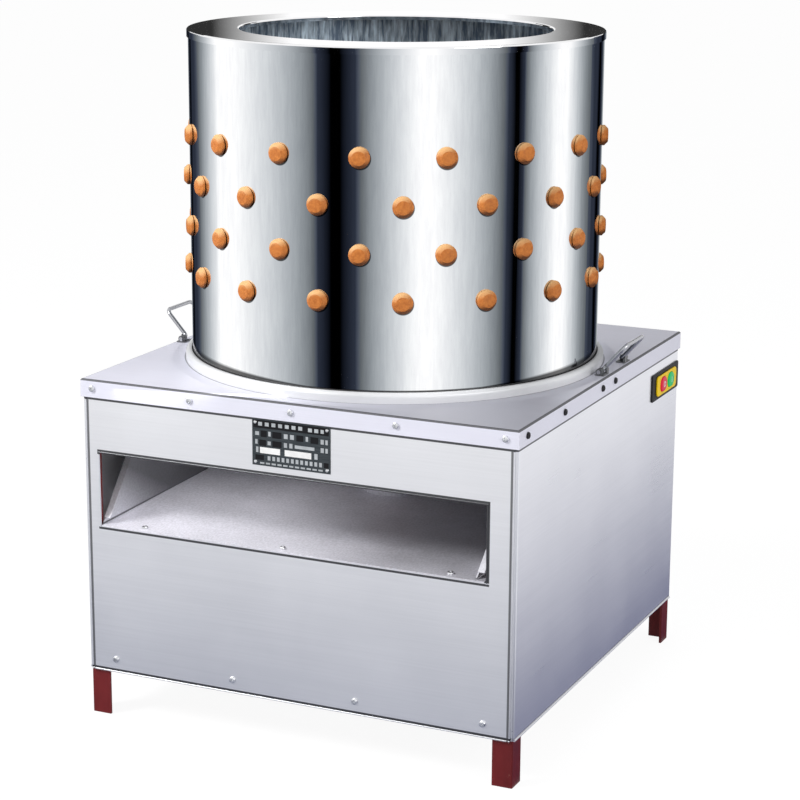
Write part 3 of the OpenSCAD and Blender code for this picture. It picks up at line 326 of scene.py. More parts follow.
def place_of(tree, scale=(1, 1, 1)):
    """Object coordinates, stretched."""
    coords = wire(tree, "ShaderNodeTexCoord").outputs["Object"]
    return wire(tree, "ShaderNodeMapping", {"Vector": coords, "Scale": scale}).outputs[0]


def axes_of(tree):
    """Object coordinates as separate X, Y and Z."""
    return wire(tree, "ShaderNodeSeparateXYZ", {0: place_of(tree)}).outputs


def radius_of(tree):
    """Distance from the drum's axis."""
    return vector_calc(tree, "LENGTH", place_of(tree, (1, 1, 0)))


def aside_of(tree):
    """Distance to the left or right of the drum's axis, across the camera's view."""
    return calc(tree, "ABSOLUTE", vector_calc(tree, "DOT_PRODUCT", place_of(tree), SIDEWAYS))


def noise(tree, vector, scale, detail, rough=0.55):
    sockets = {"Vector": vector, "Scale": scale, "Detail": detail, "Roughness": rough}
    return wire(tree, "ShaderNodeTexNoise", sockets).outputs["Fac"]


def level(tree, value, low, high, new_low=0.0, new_high=1.0):
    sockets = {"Value": value, "From Min": low, "From Max": high, "To Min": new_low, "To Max": new_high}
    return wire(tree, "ShaderNodeMapRange", sockets).outputs["Result"]


def ranged(tree, value, new_low=0.0, new_high=1.0):
    """Noise taken from its usual range to a new one."""
    return level(tree, value, 0.3, 0.7, new_low, new_high)


def mix(tree, share, first, second):
    """Colour from first to second as share goes from 0 to 1."""
    sockets = {0: share, 6: rgba(first), 7: rgba(second)}
    return wire(tree, "ShaderNodeMix", sockets, data_type="RGBA").outputs[2]


def rgba(colour):
    if isinstance(colour, bpy.types.NodeSocket):
        return colour
    return (*colour, 1.0)


def shade(colour, share):
    return tuple(c * share for c in colour)


def relief(tree, height, strength, distance):
    sockets = {"Height": height, "Strength": strength, "Distance": distance}
    return wire(tree, "ShaderNodeBump", sockets).outputs["Normal"]


def new_finish(name, **uniform):
    """A material with one Principled shader, whose uniform values are set on its own sockets."""
    material = bpy.data.materials.new(name)
    material.use_nodes = True
    tree = material.node_tree
    shader = tree.nodes["Principled BSDF"]
    for socket, value in uniform.items():
        shader.inputs[socket.replace("_", " ").title().replace("Ior", "IOR")].default_value = value
    return material, tree, shader


def paint(tree, shader, colour, roughness, normal=None):
    for socket, value in (("Base Color", colour), ("Roughness", roughness), ("Normal", normal)):
        if value is not None:
            tree.links.new(value, shader.inputs[socket])


# Painted shade, shadows and reflections

def band(tree, value, low, high):
    """1 between two values, 0 outside."""
    rise = level(tree, value, low - SOFT_EDGE, low)
    fall = level(tree, value, high, high + SOFT_EDGE, 1, 0)
    return calc(tree, "MULTIPLY", rise, fall)


def fold_and_lip_shade(tree):
    """1 on the deck's top folds, as a painted dark reflection, and on the seam below its lip, as a painted
    shadow; 0 elsewhere.
    """
    axes = axes_of(tree)
    out_x = level(tree, calc(tree, "ABSOLUTE", axes["X"]), DECK_X - FOLD, DECK_X - 0.7 * FOLD)
    out_y = level(tree, calc(tree, "ABSOLUTE", axes["Y"]), DECK_Y - FOLD, DECK_Y - 0.7 * FOLD)
    high = band(tree, axes["Z"], DECK_TOP - 0.8 * FOLD, DECK_TOP)
    top = calc(tree, "MULTIPLY", calc(tree, "MAXIMUM", out_x, out_y), high)
    return calc(tree, "MAXIMUM", top, band(tree, axes["Z"], LIP_FOOT - SEAM, LIP_FOOT))


def side_hem_shade(tree):
    """Faint painted shade line above a side panel's hem."""
    hem = band(tree, axes_of(tree)["Z"], panel_low.z + BEAD, panel_low.z + BEAD + LINE)
    return calc(tree, "MULTIPLY", hem, SIDE_HEMS_DARK)


def front_edge_shade(tree):
    """Painted shade lines along the front panel's upright edges, above its hem and round its window."""
    axes = axes_of(tree)
    across, height = axes["X"], axes["Z"]
    edge = front_high.x - BEAD
    edges = band(tree, calc(tree, "ABSOLUTE", across), edge - LINE, edge)
    hem = band(tree, height, front_low.z + BEAD, front_low.z + BEAD + LINE)
    within = band(tree, across, WINDOW_LEFT - LINE, WINDOW_RIGHT + 1.2 * LINE)
    over = band(tree, height, WINDOW_TOP - LINE, WINDOW_TOP + 1.3 * LINE)
    under = band(tree, height, WINDOW_SILL - 1.6 * LINE, WINDOW_SILL - 0.6 * LINE)
    right = band(tree, across, WINDOW_RIGHT - LINE, WINDOW_RIGHT + 1.2 * LINE)
    edges = calc(tree, "MULTIPLY", edges, FRONT_EDGES_DARK)
    over = calc(tree, "MULTIPLY", over, within)
    under = calc(tree, "MULTIPLY", under, within)
    right = calc(tree, "MULTIPLY", right, band(tree, height, WINDOW_SILL, WINDOW_TOP))
    return joined(tree, "MAXIMUM", edges, hem, over, under, right)


def deck_shade(tree):
    """Painted shade line on the deck round the drum's foot ring, and painted shade on its front right corner.
    """
    axes = axes_of(tree)
    line = band(tree, radius_of(tree), FOOT_RING_R, FOOT_RING_R + RING_LINE)
    right = level(tree, axes["X"], *DECK_SHADE_ACROSS)
    front = level(tree, axes["Y"], *DECK_SHADE_ALONG)
    top = level(tree, axes["Z"], *DECK_SKIN, *DECK_SHADE_DEPTH)
    corner_shade = joined(tree, "MULTIPLY", right, front, top)
    return calc(tree, "MAXIMUM", calc(tree, "MULTIPLY", line, RING_LINE_DARK), corner_shade)


def chute_wall_shade(tree):
    """Painted shade that deepens up and back along the chute's walls, and a painted shade line at their foot.
    """
    axes = axes_of(tree)
    reach = calc(tree, "ADD", axes["Z"], calc(tree, "MULTIPLY", axes["Y"], WALL_SHADE_LEAN))
    rise = calc(tree, "MULTIPLY", calc(tree, "ADD", axes["Y"], DECK_Y), CHUTE_SLOPE)
    foot = calc(tree, "SUBTRACT", axes["Z"], rise)
    foot_shade = level(tree, foot, *WALL_FOOT_SHADE, *WALL_FOOT_SHADE_DEPTH)
    return calc(tree, "MAXIMUM", level(tree, reach, *WALL_SHADE_REACH, *WALL_SHADE_DEPTH), foot_shade)


def chute_floor_shade(tree):
    """Painted shade that deepens to the chute's right and back."""
    axes = axes_of(tree)
    reach = calc(tree, "ADD", axes["X"], calc(tree, "MULTIPLY", axes["Y"], CHUTE_SHADE_LEAN))
    return level(tree, reach, *CHUTE_SHADE_REACH, *CHUTE_SHADE_DEPTH)


def head_shadows(tree):
    """1 on a thin painted shadow round each head, widest at its lower right, 0 elsewhere."""
    axes = axes_of(tree)
    rise = calc(tree, "SUBTRACT", axes["Z"], WALL_FIRST_ROW - SHADOW_DOWN)
    row = calc(tree, "ROUND", calc(tree, "DIVIDE", rise, WALL_ROW_PITCH))
    off_z = calc(tree, "SUBTRACT", rise, calc(tree, "MULTIPLY", row, WALL_ROW_PITCH))
    shift = calc(tree, "MULTIPLY", calc(tree, "FLOORED_MODULO", row, 2.0), WALL_STEP / 2)
    turn = calc(tree, "ARCTAN2", axes["Y"], axes["X"])
    turn = calc(tree, "SUBTRACT", turn, WALL_TURN + SHADOW_RIGHT / DRUM_R)
    turn = wrapped(tree, calc(tree, "SUBTRACT", turn, shift), WALL_STEP / 2)
    off_x = calc(tree, "MULTIPLY", turn, DRUM_R)
    square_x = calc(tree, "MULTIPLY", off_x, off_x)
    square_z = calc(tree, "MULTIPLY", off_z, off_z)
    away = calc(tree, "SQRT", calc(tree, "ADD", square_x, square_z))
    reach = HEAD_R + SHADOW_OUT
    near = level(tree, away, reach - 2 * SOFT_EDGE, reach, 1, 0)
    return calc(tree, "MULTIPLY", band(tree, row, 0, WALL_ROWS - 1), near)


def drum_foot_shade(tree):
    """Painted shade on the drum above its foot ring, thin in front and thicker at both sides."""
    height = axes_of(tree)["Z"]
    thick = level(tree, aside_of(tree), *FOOT_SHADE_ASIDE, *FOOT_SHADE_HEIGHT)
    rise = calc(tree, "DIVIDE", calc(tree, "SUBTRACT", height, FOOT_RING_TOP), thick)
    fade = level(tree, rise, FOOT_SHADE_FADE_FROM, 1.0, 1, 0)
    return calc(tree, "MULTIPLY", level(tree, height, *FOOT_SHADE_LOW), fade)


def ring_shade(tree):
    """Shade on the foot ring's inner half, next to the drum."""
    return level(tree, radius_of(tree), *RING_SHADE_REACH, *RING_SHADE_DEPTH)


# Finishes

def satin_sheet(name, grain, tint=(0.86, 0.865, 0.89), metallic=0.88, rough=0.32, lines=None, grit=0.03):
    """Brushed sheet: fine streaks along one axis, broad faint patches, a painted dark reflection on folds and
    painted shade on seams and edges.
    """
    material, tree, shader = new_finish(name, metallic=metallic)
    streaks = noise(tree, place_of(tree, grain), 1.0, 3.0)
    patches = noise(tree, place_of(tree), 7.0, 3.0)
    blend = calc(tree, "ADD", calc(tree, "MULTIPLY", streaks, 0.45), calc(tree, "MULTIPLY", patches, 0.55))
    colour = mix(tree, level(tree, blend, 0.35, 0.65), shade(tint, 1 - grit), shade(tint, 1 + grit))
    # Painted dark reflection on folds and painted shade on seams, edges, deck, chute and foot ring, mixed in
    # as a near-black colour
    dark = fold_and_lip_shade(tree)
    if lines:
        dark = calc(tree, "MAXIMUM", dark, lines(tree))
    colour = mix(tree, calc(tree, "MULTIPLY", dark, LINES_DARK), colour, LINE_COLOUR)
    paint(tree, shader, colour, ranged(tree, blend, rough - 0.04, rough + 0.05),
          relief(tree, streaks, 0.04, 0.0002))
    return material


def polished_wall(name):
    """Mirror-polished wall with faint upright lines, painted shadows round the heads and painted shade above
    the foot ring, and a satin inside with upright streaks.
    """
    material, tree, shader = new_finish(name)
    around = vector_calc(tree, "NORMALIZE", place_of(tree, (1, 1, 0)))
    upright = vector_calc(tree, "ADD", around, place_of(tree, (0, 0, 0.5)))
    lines = noise(tree, upright, 46.0, 5.0, 0.65)
    hazes = noise(tree, place_of(tree), 9.0, 2.0)
    inside = level(tree, radius_of(tree), DRUM_R - 2 / 3 * WALL_SHEET, DRUM_R - WALL_SHEET / 3, 1, 0)
    bright = mix(tree, level(tree, lines, 0.35, 0.65), (0.86, 0.865, 0.88), (0.95, 0.955, 0.96))
    # Painted shadows round the heads and painted shade above the foot ring, mixed in as a near-black colour
    painted_shadows = calc(tree, "MAXIMUM", head_shadows(tree), drum_foot_shade(tree))
    bright = mix(tree, calc(tree, "MULTIPLY", painted_shadows, 0.9), bright, (0.03, 0.028, 0.028))
    broad = calc(tree, "SUBTRACT", noise(tree, upright, 8.0, 2.0), 0.5)
    streaks = calc(tree, "ADD", lines, calc(tree, "MULTIPLY", broad, 0.7))
    dull = mix(tree, level(tree, streaks, 0.4, 0.68), (0.13, 0.18, 0.25), (0.76, 0.90, 1.0))
    shine = calc(tree, "ADD", ranged(tree, lines, 0.04, 0.07), level(tree, hazes, 0.4, 0.7, 0.0, 0.02))
    tree.links.new(level(tree, inside, 0, 1, 1.0, 0.55), shader.inputs["Metallic"])
    paint(tree, shader, mix(tree, inside, bright, dull), level(tree, inside, 0, 1, shine, 0.46))
    return material


def turned_steel(name, tint, low, high):
    """Bright sheet finished on a turning machine: fine rings round the axis."""
    material, tree, shader = new_finish(name, metallic=1.0)
    along = wire(tree, "ShaderNodeCombineXYZ", {"X": radius_of(tree)}).outputs[0]
    rings = noise(tree, along, 1400.0, 3.0)
    smears = noise(tree, place_of(tree), 14.0, 3.0)
    colour = mix(tree, level(tree, smears, 0.35, 0.65), shade(tint, 0.93), tint)
    rough = calc(tree, "ADD", ranged(tree, rings, low, high), level(tree, smears, 0.4, 0.7, 0.0, 0.03))
    paint(tree, shader, colour, rough, relief(tree, rings, 0.03, 0.0001))
    return material


def plated(name, tint, rough):
    """Zinc plate or ground steel: small spangles and a little dulling."""
    material, tree, shader = new_finish(name, metallic=1.0)
    spangle = noise(tree, place_of(tree), 420.0, 2.0)
    dull = noise(tree, place_of(tree), 60.0, 3.0)
    colour = mix(tree, level(tree, dull, 0.35, 0.65), shade(tint, 0.8), tint)
    paint(tree, shader, colour, ranged(tree, spangle, rough - 0.06, rough + 0.1),
          relief(tree, spangle, 0.05, 0.0001))
    return material


def painted(name, tint, worn):
    """Brushed-on paint: orange peel, uneven cover and a few scuffs down to the undercoat."""
    material, tree, shader = new_finish(name, specular_ior_level=0.2)
    peel = noise(tree, place_of(tree), 520.0, 2.0)
    cover = noise(tree, place_of(tree, (1, 1, 0.4)), 38.0, 4.0)
    scuffs = level(tree, noise(tree, place_of(tree, (1, 1, 0.5)), 120.0, 5.0, 0.7), 0.66, 0.72)
    colour = mix(tree, ranged(tree, cover), shade(tint, 0.8), shade(tint, 1.2))
    colour = mix(tree, scuffs, colour, worn)
    paint(tree, shader, colour, ranged(tree, cover, 0.37, 0.55), relief(tree, peel, 0.18, 0.0004))
    return material


def moulded_rubber(name, tint, dark, pale, grain):
    """Mottled rubber with a fine open grain, a painted highlight on faces turned to the light and painted
    shade on those turned away.
    """
    material, tree, shader = new_finish(name, specular_ior_level=0.35)
    mottle = noise(tree, place_of(tree), 260.0, 5.0, 0.7)
    pores = noise(tree, place_of(tree), grain, 2.0)
    bloom = noise(tree, place_of(tree), 35.0, 2.0)
    body = mix(tree, ranged(tree, mottle), dark, tint)
    colour = mix(tree, level(tree, bloom, 0.5, 0.8, 0.0, 0.3), body, shade(tint, 1.25))
    normal = wire(tree, "ShaderNodeNewGeometry").outputs["Normal"]
    # Painted highlight on faces turned to the light, painted shade on faces turned away
    toward_light = vector_calc(tree, "DOT_PRODUCT", normal, LIGHT_FROM)
    colour = mix(tree, level(tree, toward_light, *HIGHLIGHT_TURN, *HIGHLIGHT_DEPTH), colour, pale)
    colour = mix(tree, level(tree, toward_light, *RUBBER_SHADE_TURN, *RUBBER_SHADE_DEPTH), colour, shade(dark, 0.2))
    paint(tree, shader, colour, ranged(tree, mottle, 0.5, 0.68), relief(tree, pores, 0.12, 0.0003))
    return material


def moulded_plastic(name, tint, rough):
    """Moulded plastic: spark-eroded grain and a slightly uneven gloss."""
    material, tree, shader = new_finish(name, specular_ior_level=0.18)
    grain = noise(tree, place_of(tree), 1600.0, 2.0)
    sheen = noise(tree, place_of(tree), 90.0, 2.0)
    colour = mix(tree, ranged(tree, sheen), shade(tint, 0.9), shade(tint, 1.06))
    paint(tree, shader, colour, ranged(tree, sheen, rough - 0.05, rough + 0.08),
          relief(tree, grain, 0.12, 0.0002))
    return material


def cast_metal(name, tint, metallic, rough):
    """Sand-cast metal: coarse skin with darker hollows."""
    material, tree, shader = new_finish(name, metallic=metallic)
    skin = noise(tree, place_of(tree), 330.0, 5.0, 0.6)
    stain = noise(tree, place_of(tree), 22.0, 3.0)
    colour = mix(tree, ranged(tree, stain), shade(tint, 0.75), shade(tint, 1.15))
    paint(tree, shader, colour, ranged(tree, skin, rough - 0.08, rough + 0.1),
          relief(tree, skin, 0.25, 0.0006))
    return material


def etched_plate(name):
    """Anodised plate, brushed sideways."""
    material, tree, shader = new_finish(name, metallic=0.55)
    streaks = noise(tree, place_of(tree, (60, 900, 900)), 1.0, 3.0)
    colour = mix(tree, ranged(tree, streaks), (0.030, 0.038, 0.045), (0.060, 0.072, 0.080))
    paint(tree, shader, colour, ranged(tree, streaks, 0.34, 0.46))
    return material


# Grain of the sheets, as how closely streaks follow each other along each axis
ALONG_X = (5, 500, 500)
ALONG_Y = (500, 5, 500)
CHUTE_GRAIN = (420, 260, 420)
ROD_GRAIN = (300, 300, 300)
RING_GRAIN = (90, 90, 900)

# Finishes by material slot, then those of single nodes and of added fields and marks
FINISHES = {
    "red_oxide_steel": painted("Red oxide paint", (0.135, 0.012, 0.014), (0.20, 0.06, 0.05)),
    "satin_stainless": satin_sheet("Satin sheet", ALONG_X),
    "polished_stainless": polished_wall("Polished wall"),
    "zinc_steel": plated("Bright zinc", (0.80, 0.81, 0.83), 0.26),
    "black_steel": painted("Black paint", (0.016, 0.016, 0.018), (0.05, 0.05, 0.055)),
    "bearing_steel": plated("Ground steel", (0.62, 0.63, 0.65), 0.2),
    "core_iron": cast_metal("Cast iron", (0.20, 0.205, 0.215), 0.8, 0.5),
    "motor_aluminium": cast_metal("Motor casting", (0.16, 0.19, 0.22), 0.1, 0.45),
    "capacitor_can": plated("Drawn can", (0.75, 0.76, 0.77), 0.3),
    # The third colour given to each rubber is its painted highlight
    "orange_rubber": moulded_rubber("Orange rubber", (0.70, 0.235, 0.045), (0.44, 0.12, 0.018),
                                    (0.95, 0.58, 0.26), 1500.0),
    "black_rubber": moulded_rubber("Black rubber", (0.022, 0.022, 0.024), (0.012, 0.012, 0.013),
                                   (0.10, 0.10, 0.10), 1100.0),
    "black_plastic": moulded_plastic("Black plastic", (0.008, 0.008, 0.009), 0.5),
    "yellow_plastic": moulded_plastic("Yellow plastic", (1.0, 0.68, 0.006), 0.4),
    "green_plastic": moulded_plastic("Green plastic", (0.006, 0.62, 0.16), 0.3),
    "red_plastic": moulded_plastic("Red plastic", (0.80, 0.008, 0.05), 0.3),
    "etched_plate": etched_plate("Etched plate"),
}
SIDE_SHEET = satin_sheet("Satin side sheet", ALONG_Y, rough=0.3, lines=side_hem_shade)
FRONT_SHEET = satin_sheet("Satin front sheet", ALONG_X, lines=front_edge_shade)
CHUTE_SHEET = satin_sheet("Chute sheet", CHUTE_GRAIN, (0.78, 0.77, 0.84), 0.25, 0.5, chute_floor_shade, 0.22)
CHUTE_WALL = satin_sheet("Chute wall", CHUTE_GRAIN, (0.70, 0.70, 0.75), 0.25, 0.5, chute_wall_shade, 0.22)
HANDLE_ROD = satin_sheet("Handle rod", ROD_GRAIN, (0.45, 0.455, 0.48), 0.9, 0.25)
OWN_FINISH = {
    "left_panel": SIDE_SHEET,
    "right_panel": SIDE_SHEET,
    "front_panel": FRONT_SHEET,
    "deck": satin_sheet("Deck sheet", ALONG_X, (0.77, 0.77, 0.87), 0.15, 0.5, deck_shade),
    "chute_floor": CHUTE_SHEET,
    "chute_left_wall": CHUTE_WALL,
    "chute_right_wall": CHUTE_WALL,
    "drum_rim": turned_steel("Turned rim", (0.95, 0.95, 0.96), 0.05, 0.09),
    "drum_foot_ring": satin_sheet("Foot ring", RING_GRAIN, (0.88, 0.885, 0.90), 0.2, 0.45, ring_shade),
    "left_handle": HANDLE_ROD,
    "right_handle": HANDLE_ROD,
    "handle_clips": cast_metal("Clip metal", (0.15, 0.152, 0.16), 0.5, 0.45),
    "turntable_disc": turned_steel("Turned disc", (0.82, 0.83, 0.84), 0.16, 0.28),
    "motor_stator": plated("Copper windings", (0.72, 0.33, 0.16), 0.34),
}
SILVER = plated("Silver field", (0.62, 0.65, 0.67), 0.36)
BLACK_FIELD = moulded_plastic("Black field", (0.006, 0.006, 0.008), 0.4)
WHITE_MARK = moulded_plastic("White mark", (0.86, 0.86, 0.86), 0.34)

for subpart in frame["record"]["subparts"]:
    node = frame["nodes"][subpart["node"]]
    finish = OWN_FINISH.get(node.name, FINISHES[subpart["material_slot"]])
    node.data.materials.clear()
    node.data.materials.append(finish)


# Meshes

def added(name, data):
    """A new object, put in the scene."""
    made = bpy.data.objects.new(name, data)
    bpy.context.scene.collection.objects.link(made)
    return made


def own(name, mesh, finish, body, slot, *replaced):
    """Makes a mesh a finished piece on a body."""
    piece = added(name, mesh)
    mesh.materials.clear()
    mesh.materials.append(finish)
    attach(piece, body)
    if replaced:
        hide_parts(*replaced)


def ring_of(work, radius, height, sides):
    """Vertices of a ring about Z, or the one vertex of a pole."""
    count = 1 if radius == 0 else sides
    turns = [2 * math.pi * i / sides for i in range(count)]
    return [work.verts.new((radius * math.cos(t), radius * math.sin(t), height)) for t in turns]


def bridge(work, below, above):
    """Faces between two loops of equal count, or between a loop and a pole."""
    for i in range(max(len(below), len(above))):
        corners = [below[i % len(below)], below[(i + 1) % len(below)]]
        corners += [above[(i + 1) % len(above)], above[i % len(above)]]
        work.faces.new(list(dict.fromkeys(corners)))


def to_mesh(name, work, sharp=SHARP_FROM):
    """Closes a bmesh job: outward normals, smooth faces and sharp edges past an angle."""
    bmesh.ops.remove_doubles(work, verts=work.verts, dist=1e-7)
    bmesh.ops.recalc_face_normals(work, faces=work.faces)
    mesh = bpy.data.meshes.new(name)
    work.to_mesh(mesh)
    work.free()
    mesh.shade_smooth()
    mesh.set_sharp_from_angle(angle=math.radians(sharp))
    return mesh


def lathe(name, profile, sides):
    """Turned shape about Z from (radius, height) points, first to last, with closed poles."""
    work = bmesh.new()
    rings = [ring_of(work, radius, height, sides) for radius, height in profile]
    for below, above in zip(rings, rings[1:]):
        bridge(work, below, above)
    return to_mesh(name, work)


def loft(name, rings, place):
    """Closed skin over outlines of equal count, each a list of points and a height."""
    work = bmesh.new()
    loops = []
    for outline, height in rings:
        loops.append([work.verts.new(place @ Vector((x, y, height))) for x, y in outline])
    for below, above in zip(loops, loops[1:]):
        bridge(work, below, above)
    work.faces.new(loops[0])
    work.faces.new(loops[-1])
    return to_mesh(name, work, ROUNDED_SHARP_FROM)


def round_rect(width, height, radius, centre=(0, 0)):
    """Points of a rounded rectangle, counter-clockwise."""
    points = []
    for quarter, (sx, sy) in enumerate(((1, 1), (-1, 1), (-1, -1), (1, -1))):
        for i in range(CORNER_STEPS + 1):
            turn = math.pi / 2 * (quarter + i / CORNER_STEPS)
            x = centre[0] + sx * (width / 2 - radius) + radius * math.cos(turn)
            y = centre[1] + sy * (height / 2 - radius) + radius * math.sin(turn)
            points.append((x, y))
    return points


def flattened(host):
    """The evaluated mesh of an object, which is then removed."""
    view = bpy.context.evaluated_depsgraph_get()
    mesh = bpy.data.meshes.new_from_object(host.evaluated_get(view), depsgraph=view)
    bpy.data.objects.remove(host)
    return mesh


def slab(name, outlines, depth, edge, place):
    """Plate with rounded edges from closed outlines, its back on the local XY plane."""
    curve = bpy.data.curves.new(name, "CURVE")
    curve.dimensions = "2D"
    curve.fill_mode = "BOTH"
    curve.extrude = depth / 2 - edge
    curve.bevel_depth = edge
    curve.bevel_resolution = BEVEL_STEPS
    curve.offset = -edge
    for outline in outlines:
        spline = curve.splines.new("POLY")
        spline.points.add(len(outline) - 1)
        for point, (x, y) in zip(spline.points, outline):
            point.co = (x, y, 0, 1)
        spline.use_cyclic_u = True
    mesh = flattened(added(name, curve))
    mesh.transform(place @ Matrix.Translation((0, 0, depth / 2)))
    work = bmesh.new()
    work.from_mesh(mesh)
    bpy.data.meshes.remove(mesh)
    return to_mesh(name, work, ROUNDED_SHARP_FROM)


def tiles(name, fields, depth, place):
    """Thin blocks from (left, low, right, high) fields on the local XY plane."""
    work = bmesh.new()
    for left, low, right, high in fields:
        middle = Matrix.Translation(((left + right) / 2, (low + high) / 2, depth / 2))
        size = Matrix.Diagonal((right - left, high - low, depth, 1))
        bmesh.ops.create_cube(work, size=1.0, matrix=place @ middle @ size)
    return to_mesh(name, work)


def upright_plane(origin, right):
    """Matrix from local X to a level direction and from local Y to up, at a place."""
    right = Vector(right)
    turn = Matrix((right, UP, right.cross(UP))).transposed().to_4x4()
    return Matrix.Translation(origin) @ turn


# Repeats

def repeat_tree():
    """Geometry nodes that set one shape on every site, along the site's outward direction."""
    tree = bpy.data.node_groups.new("Set shape on sites", "GeometryNodeTree")
    ports = tree.interface
    ports.new_socket("Sites", in_out="INPUT", socket_type="NodeSocketGeometry")
    ports.new_socket("Shape", in_out="INPUT", socket_type="NodeSocketObject")
    ports.new_socket("Spin", in_out="INPUT", socket_type="NodeSocketFloat")
    ports.new_socket("Finish", in_out="INPUT", socket_type="NodeSocketMaterial")
    ports.new_socket("Pieces", in_out="OUTPUT", socket_type="NodeSocketGeometry")
    given = wire(tree, "NodeGroupInput").outputs
    outward = wire(tree, "GeometryNodeInputNamedAttribute", {"Name": "outward"}, data_type="FLOAT_VECTOR")
    aimed = wire(tree, "FunctionNodeAlignRotationToVector", {"Vector": outward.outputs[0]}, axis="Z")
    chance = wire(tree, "FunctionNodeRandomValue", {3: given["Spin"], "Seed": RANDOM_SEED}, data_type="FLOAT")
    spin = wire(tree, "FunctionNodeAxisAngleToRotation", {"Axis": (0, 0, 1), "Angle": chance.outputs[1]})
    turned = wire(tree, "FunctionNodeRotateRotation", {0: aimed.outputs[0], 1: spin.outputs[0]},
                  rotation_space="LOCAL")
    shape = wire(tree, "GeometryNodeObjectInfo", {"Object": given["Shape"]})
    sockets = {"Points": given["Sites"], "Instance": shape.outputs["Geometry"], "Rotation": turned.outputs[0]}
    placed = wire(tree, "GeometryNodeInstanceOnPoints", sockets)
    real = wire(tree, "GeometryNodeRealizeInstances", {"Geometry": placed.outputs[0]})
    sockets = {"Geometry": real.outputs[0], "Material": given["Finish"]}
    finished = wire(tree, "GeometryNodeSetMaterial", sockets)
    wire(tree, "NodeGroupOutput", {"Pieces": finished.outputs[0]})
    return tree


REPEAT = repeat_tree()
REPEAT_PORT = {port.name: port.identifier for port in REPEAT.interface.items_tree}


def repeated(name, shape, sites, finish):
    """Mesh of one shape set on sites, each a place and an outward direction, with a random turn about it."""
    points = bpy.data.meshes.new(name + "_sites")
    points.from_pydata([place for place, _ in sites], [], [])
    outward = points.attributes.new("outward", "FLOAT_VECTOR", "POINT")
    for i, (_, direction) in enumerate(sites):
        outward.data[i].vector = direction
    host = added(name + "_host", points)
    pattern = added(name + "_pattern", shape)
    nodes = host.modifiers.new("Repeat", "NODES")
    nodes.node_group = REPEAT
    nodes[REPEAT_PORT["Shape"]] = pattern
    nodes[REPEAT_PORT["Spin"]] = RANDOM_TURN
    nodes[REPEAT_PORT["Finish"]] = finish
    mesh = flattened(host)
    bpy.data.objects.remove(pattern)
    return mesh


# Rubber fingers

def finger_profile(neck):
    """Outline of a finger: bevelled head below its seat, neck through the sheet, ribs and round tip."""
    face = -HEAD_T + HEAD_CROWN
    points = [(0, -HEAD_T), (0.5 * HEAD_FACE_R, -HEAD_T + HEAD_CROWN / 3), (HEAD_FACE_R, face)]
    for share, drop in HEAD_BEVEL:
        radius = HEAD_FACE_R + share * (HEAD_R - HEAD_FACE_R)
        points.append((radius, face + drop * (HEAD_T - HEAD_EDGE)))
    points += [(HEAD_R, -HEAD_CHAMFER), (HEAD_R - HEAD_CHAMFER, 0), (NECK_R, 0), (NECK_R, neck)]
    points += [(FINGER_R + wider, neck + rise) for wider, rise in FINGER_COLLAR]
    first = neck + RIBS_FROM
    top = neck + FINGER_LENGTH
    dome = FINGER_TIP_R - RIB_DEPTH
    steps = FINGER_RIBS * RIB_STEPS
    for i in range(steps):
        share = (i + 0.5) / steps
        wave = (1 - math.cos(2 * math.pi * i / RIB_STEPS)) / 2
        radius = FINGER_R + (FINGER_TIP_R - FINGER_R) * share - RIB_DEPTH * (1 - wave)
        points.append((radius, first + i * (top - dome - first) / steps))
    for i in range(DOME_STEPS):
        turn = math.pi / 2 * i / DOME_STEPS
        points.append((dome * math.cos(turn), top - dome + dome * math.sin(turn)))
    return points + [(0, top)]


def wall_sites():
    """Sites on the drum, facing in."""
    sites = []
    for row in range(WALL_ROWS):
        height = WALL_FIRST_ROW + row * WALL_ROW_PITCH
        for i in range(WALL_PER_ROW):
            turn = WALL_TURN + (i + row % 2 / 2) * WALL_STEP
            out = Vector((math.cos(turn), math.sin(turn), 0))
            sites.append((out * WALL_SEAT + Vector((0, 0, height)), -out))
    return sites


def disc_sites():
    """Sites on the turntable, facing up."""
    sites = []
    for ring, (count, inset) in enumerate(DISC_RINGS):
        radius = DISC_R - inset
        for i in range(count):
            turn = (i + ring % 2 / 2) * 2 * math.pi / count
            sites.append((Vector((radius * math.cos(turn), radius * math.sin(turn), DISC_SEAT)), UP))
    return sites


RUBBER = FINISHES["orange_rubber"]
FINGER_SETS = (
    ("drum_wall_fingers", "wall_finger", WALL_NECK, wall_sites(), "cabinet", "wall_fingers"),
    ("turntable_fingers", "disc_finger", DISC_NECK, disc_sites(), "turntable", "disc_fingers"),
)
for name, single, neck, sites, body, node in FINGER_SETS:
    finger = lathe(single, finger_profile(neck), FINGER_SIDES)
    own(name, repeated(name, finger, sites, RUBBER), RUBBER, body, "orange_rubber", node)


# Screws

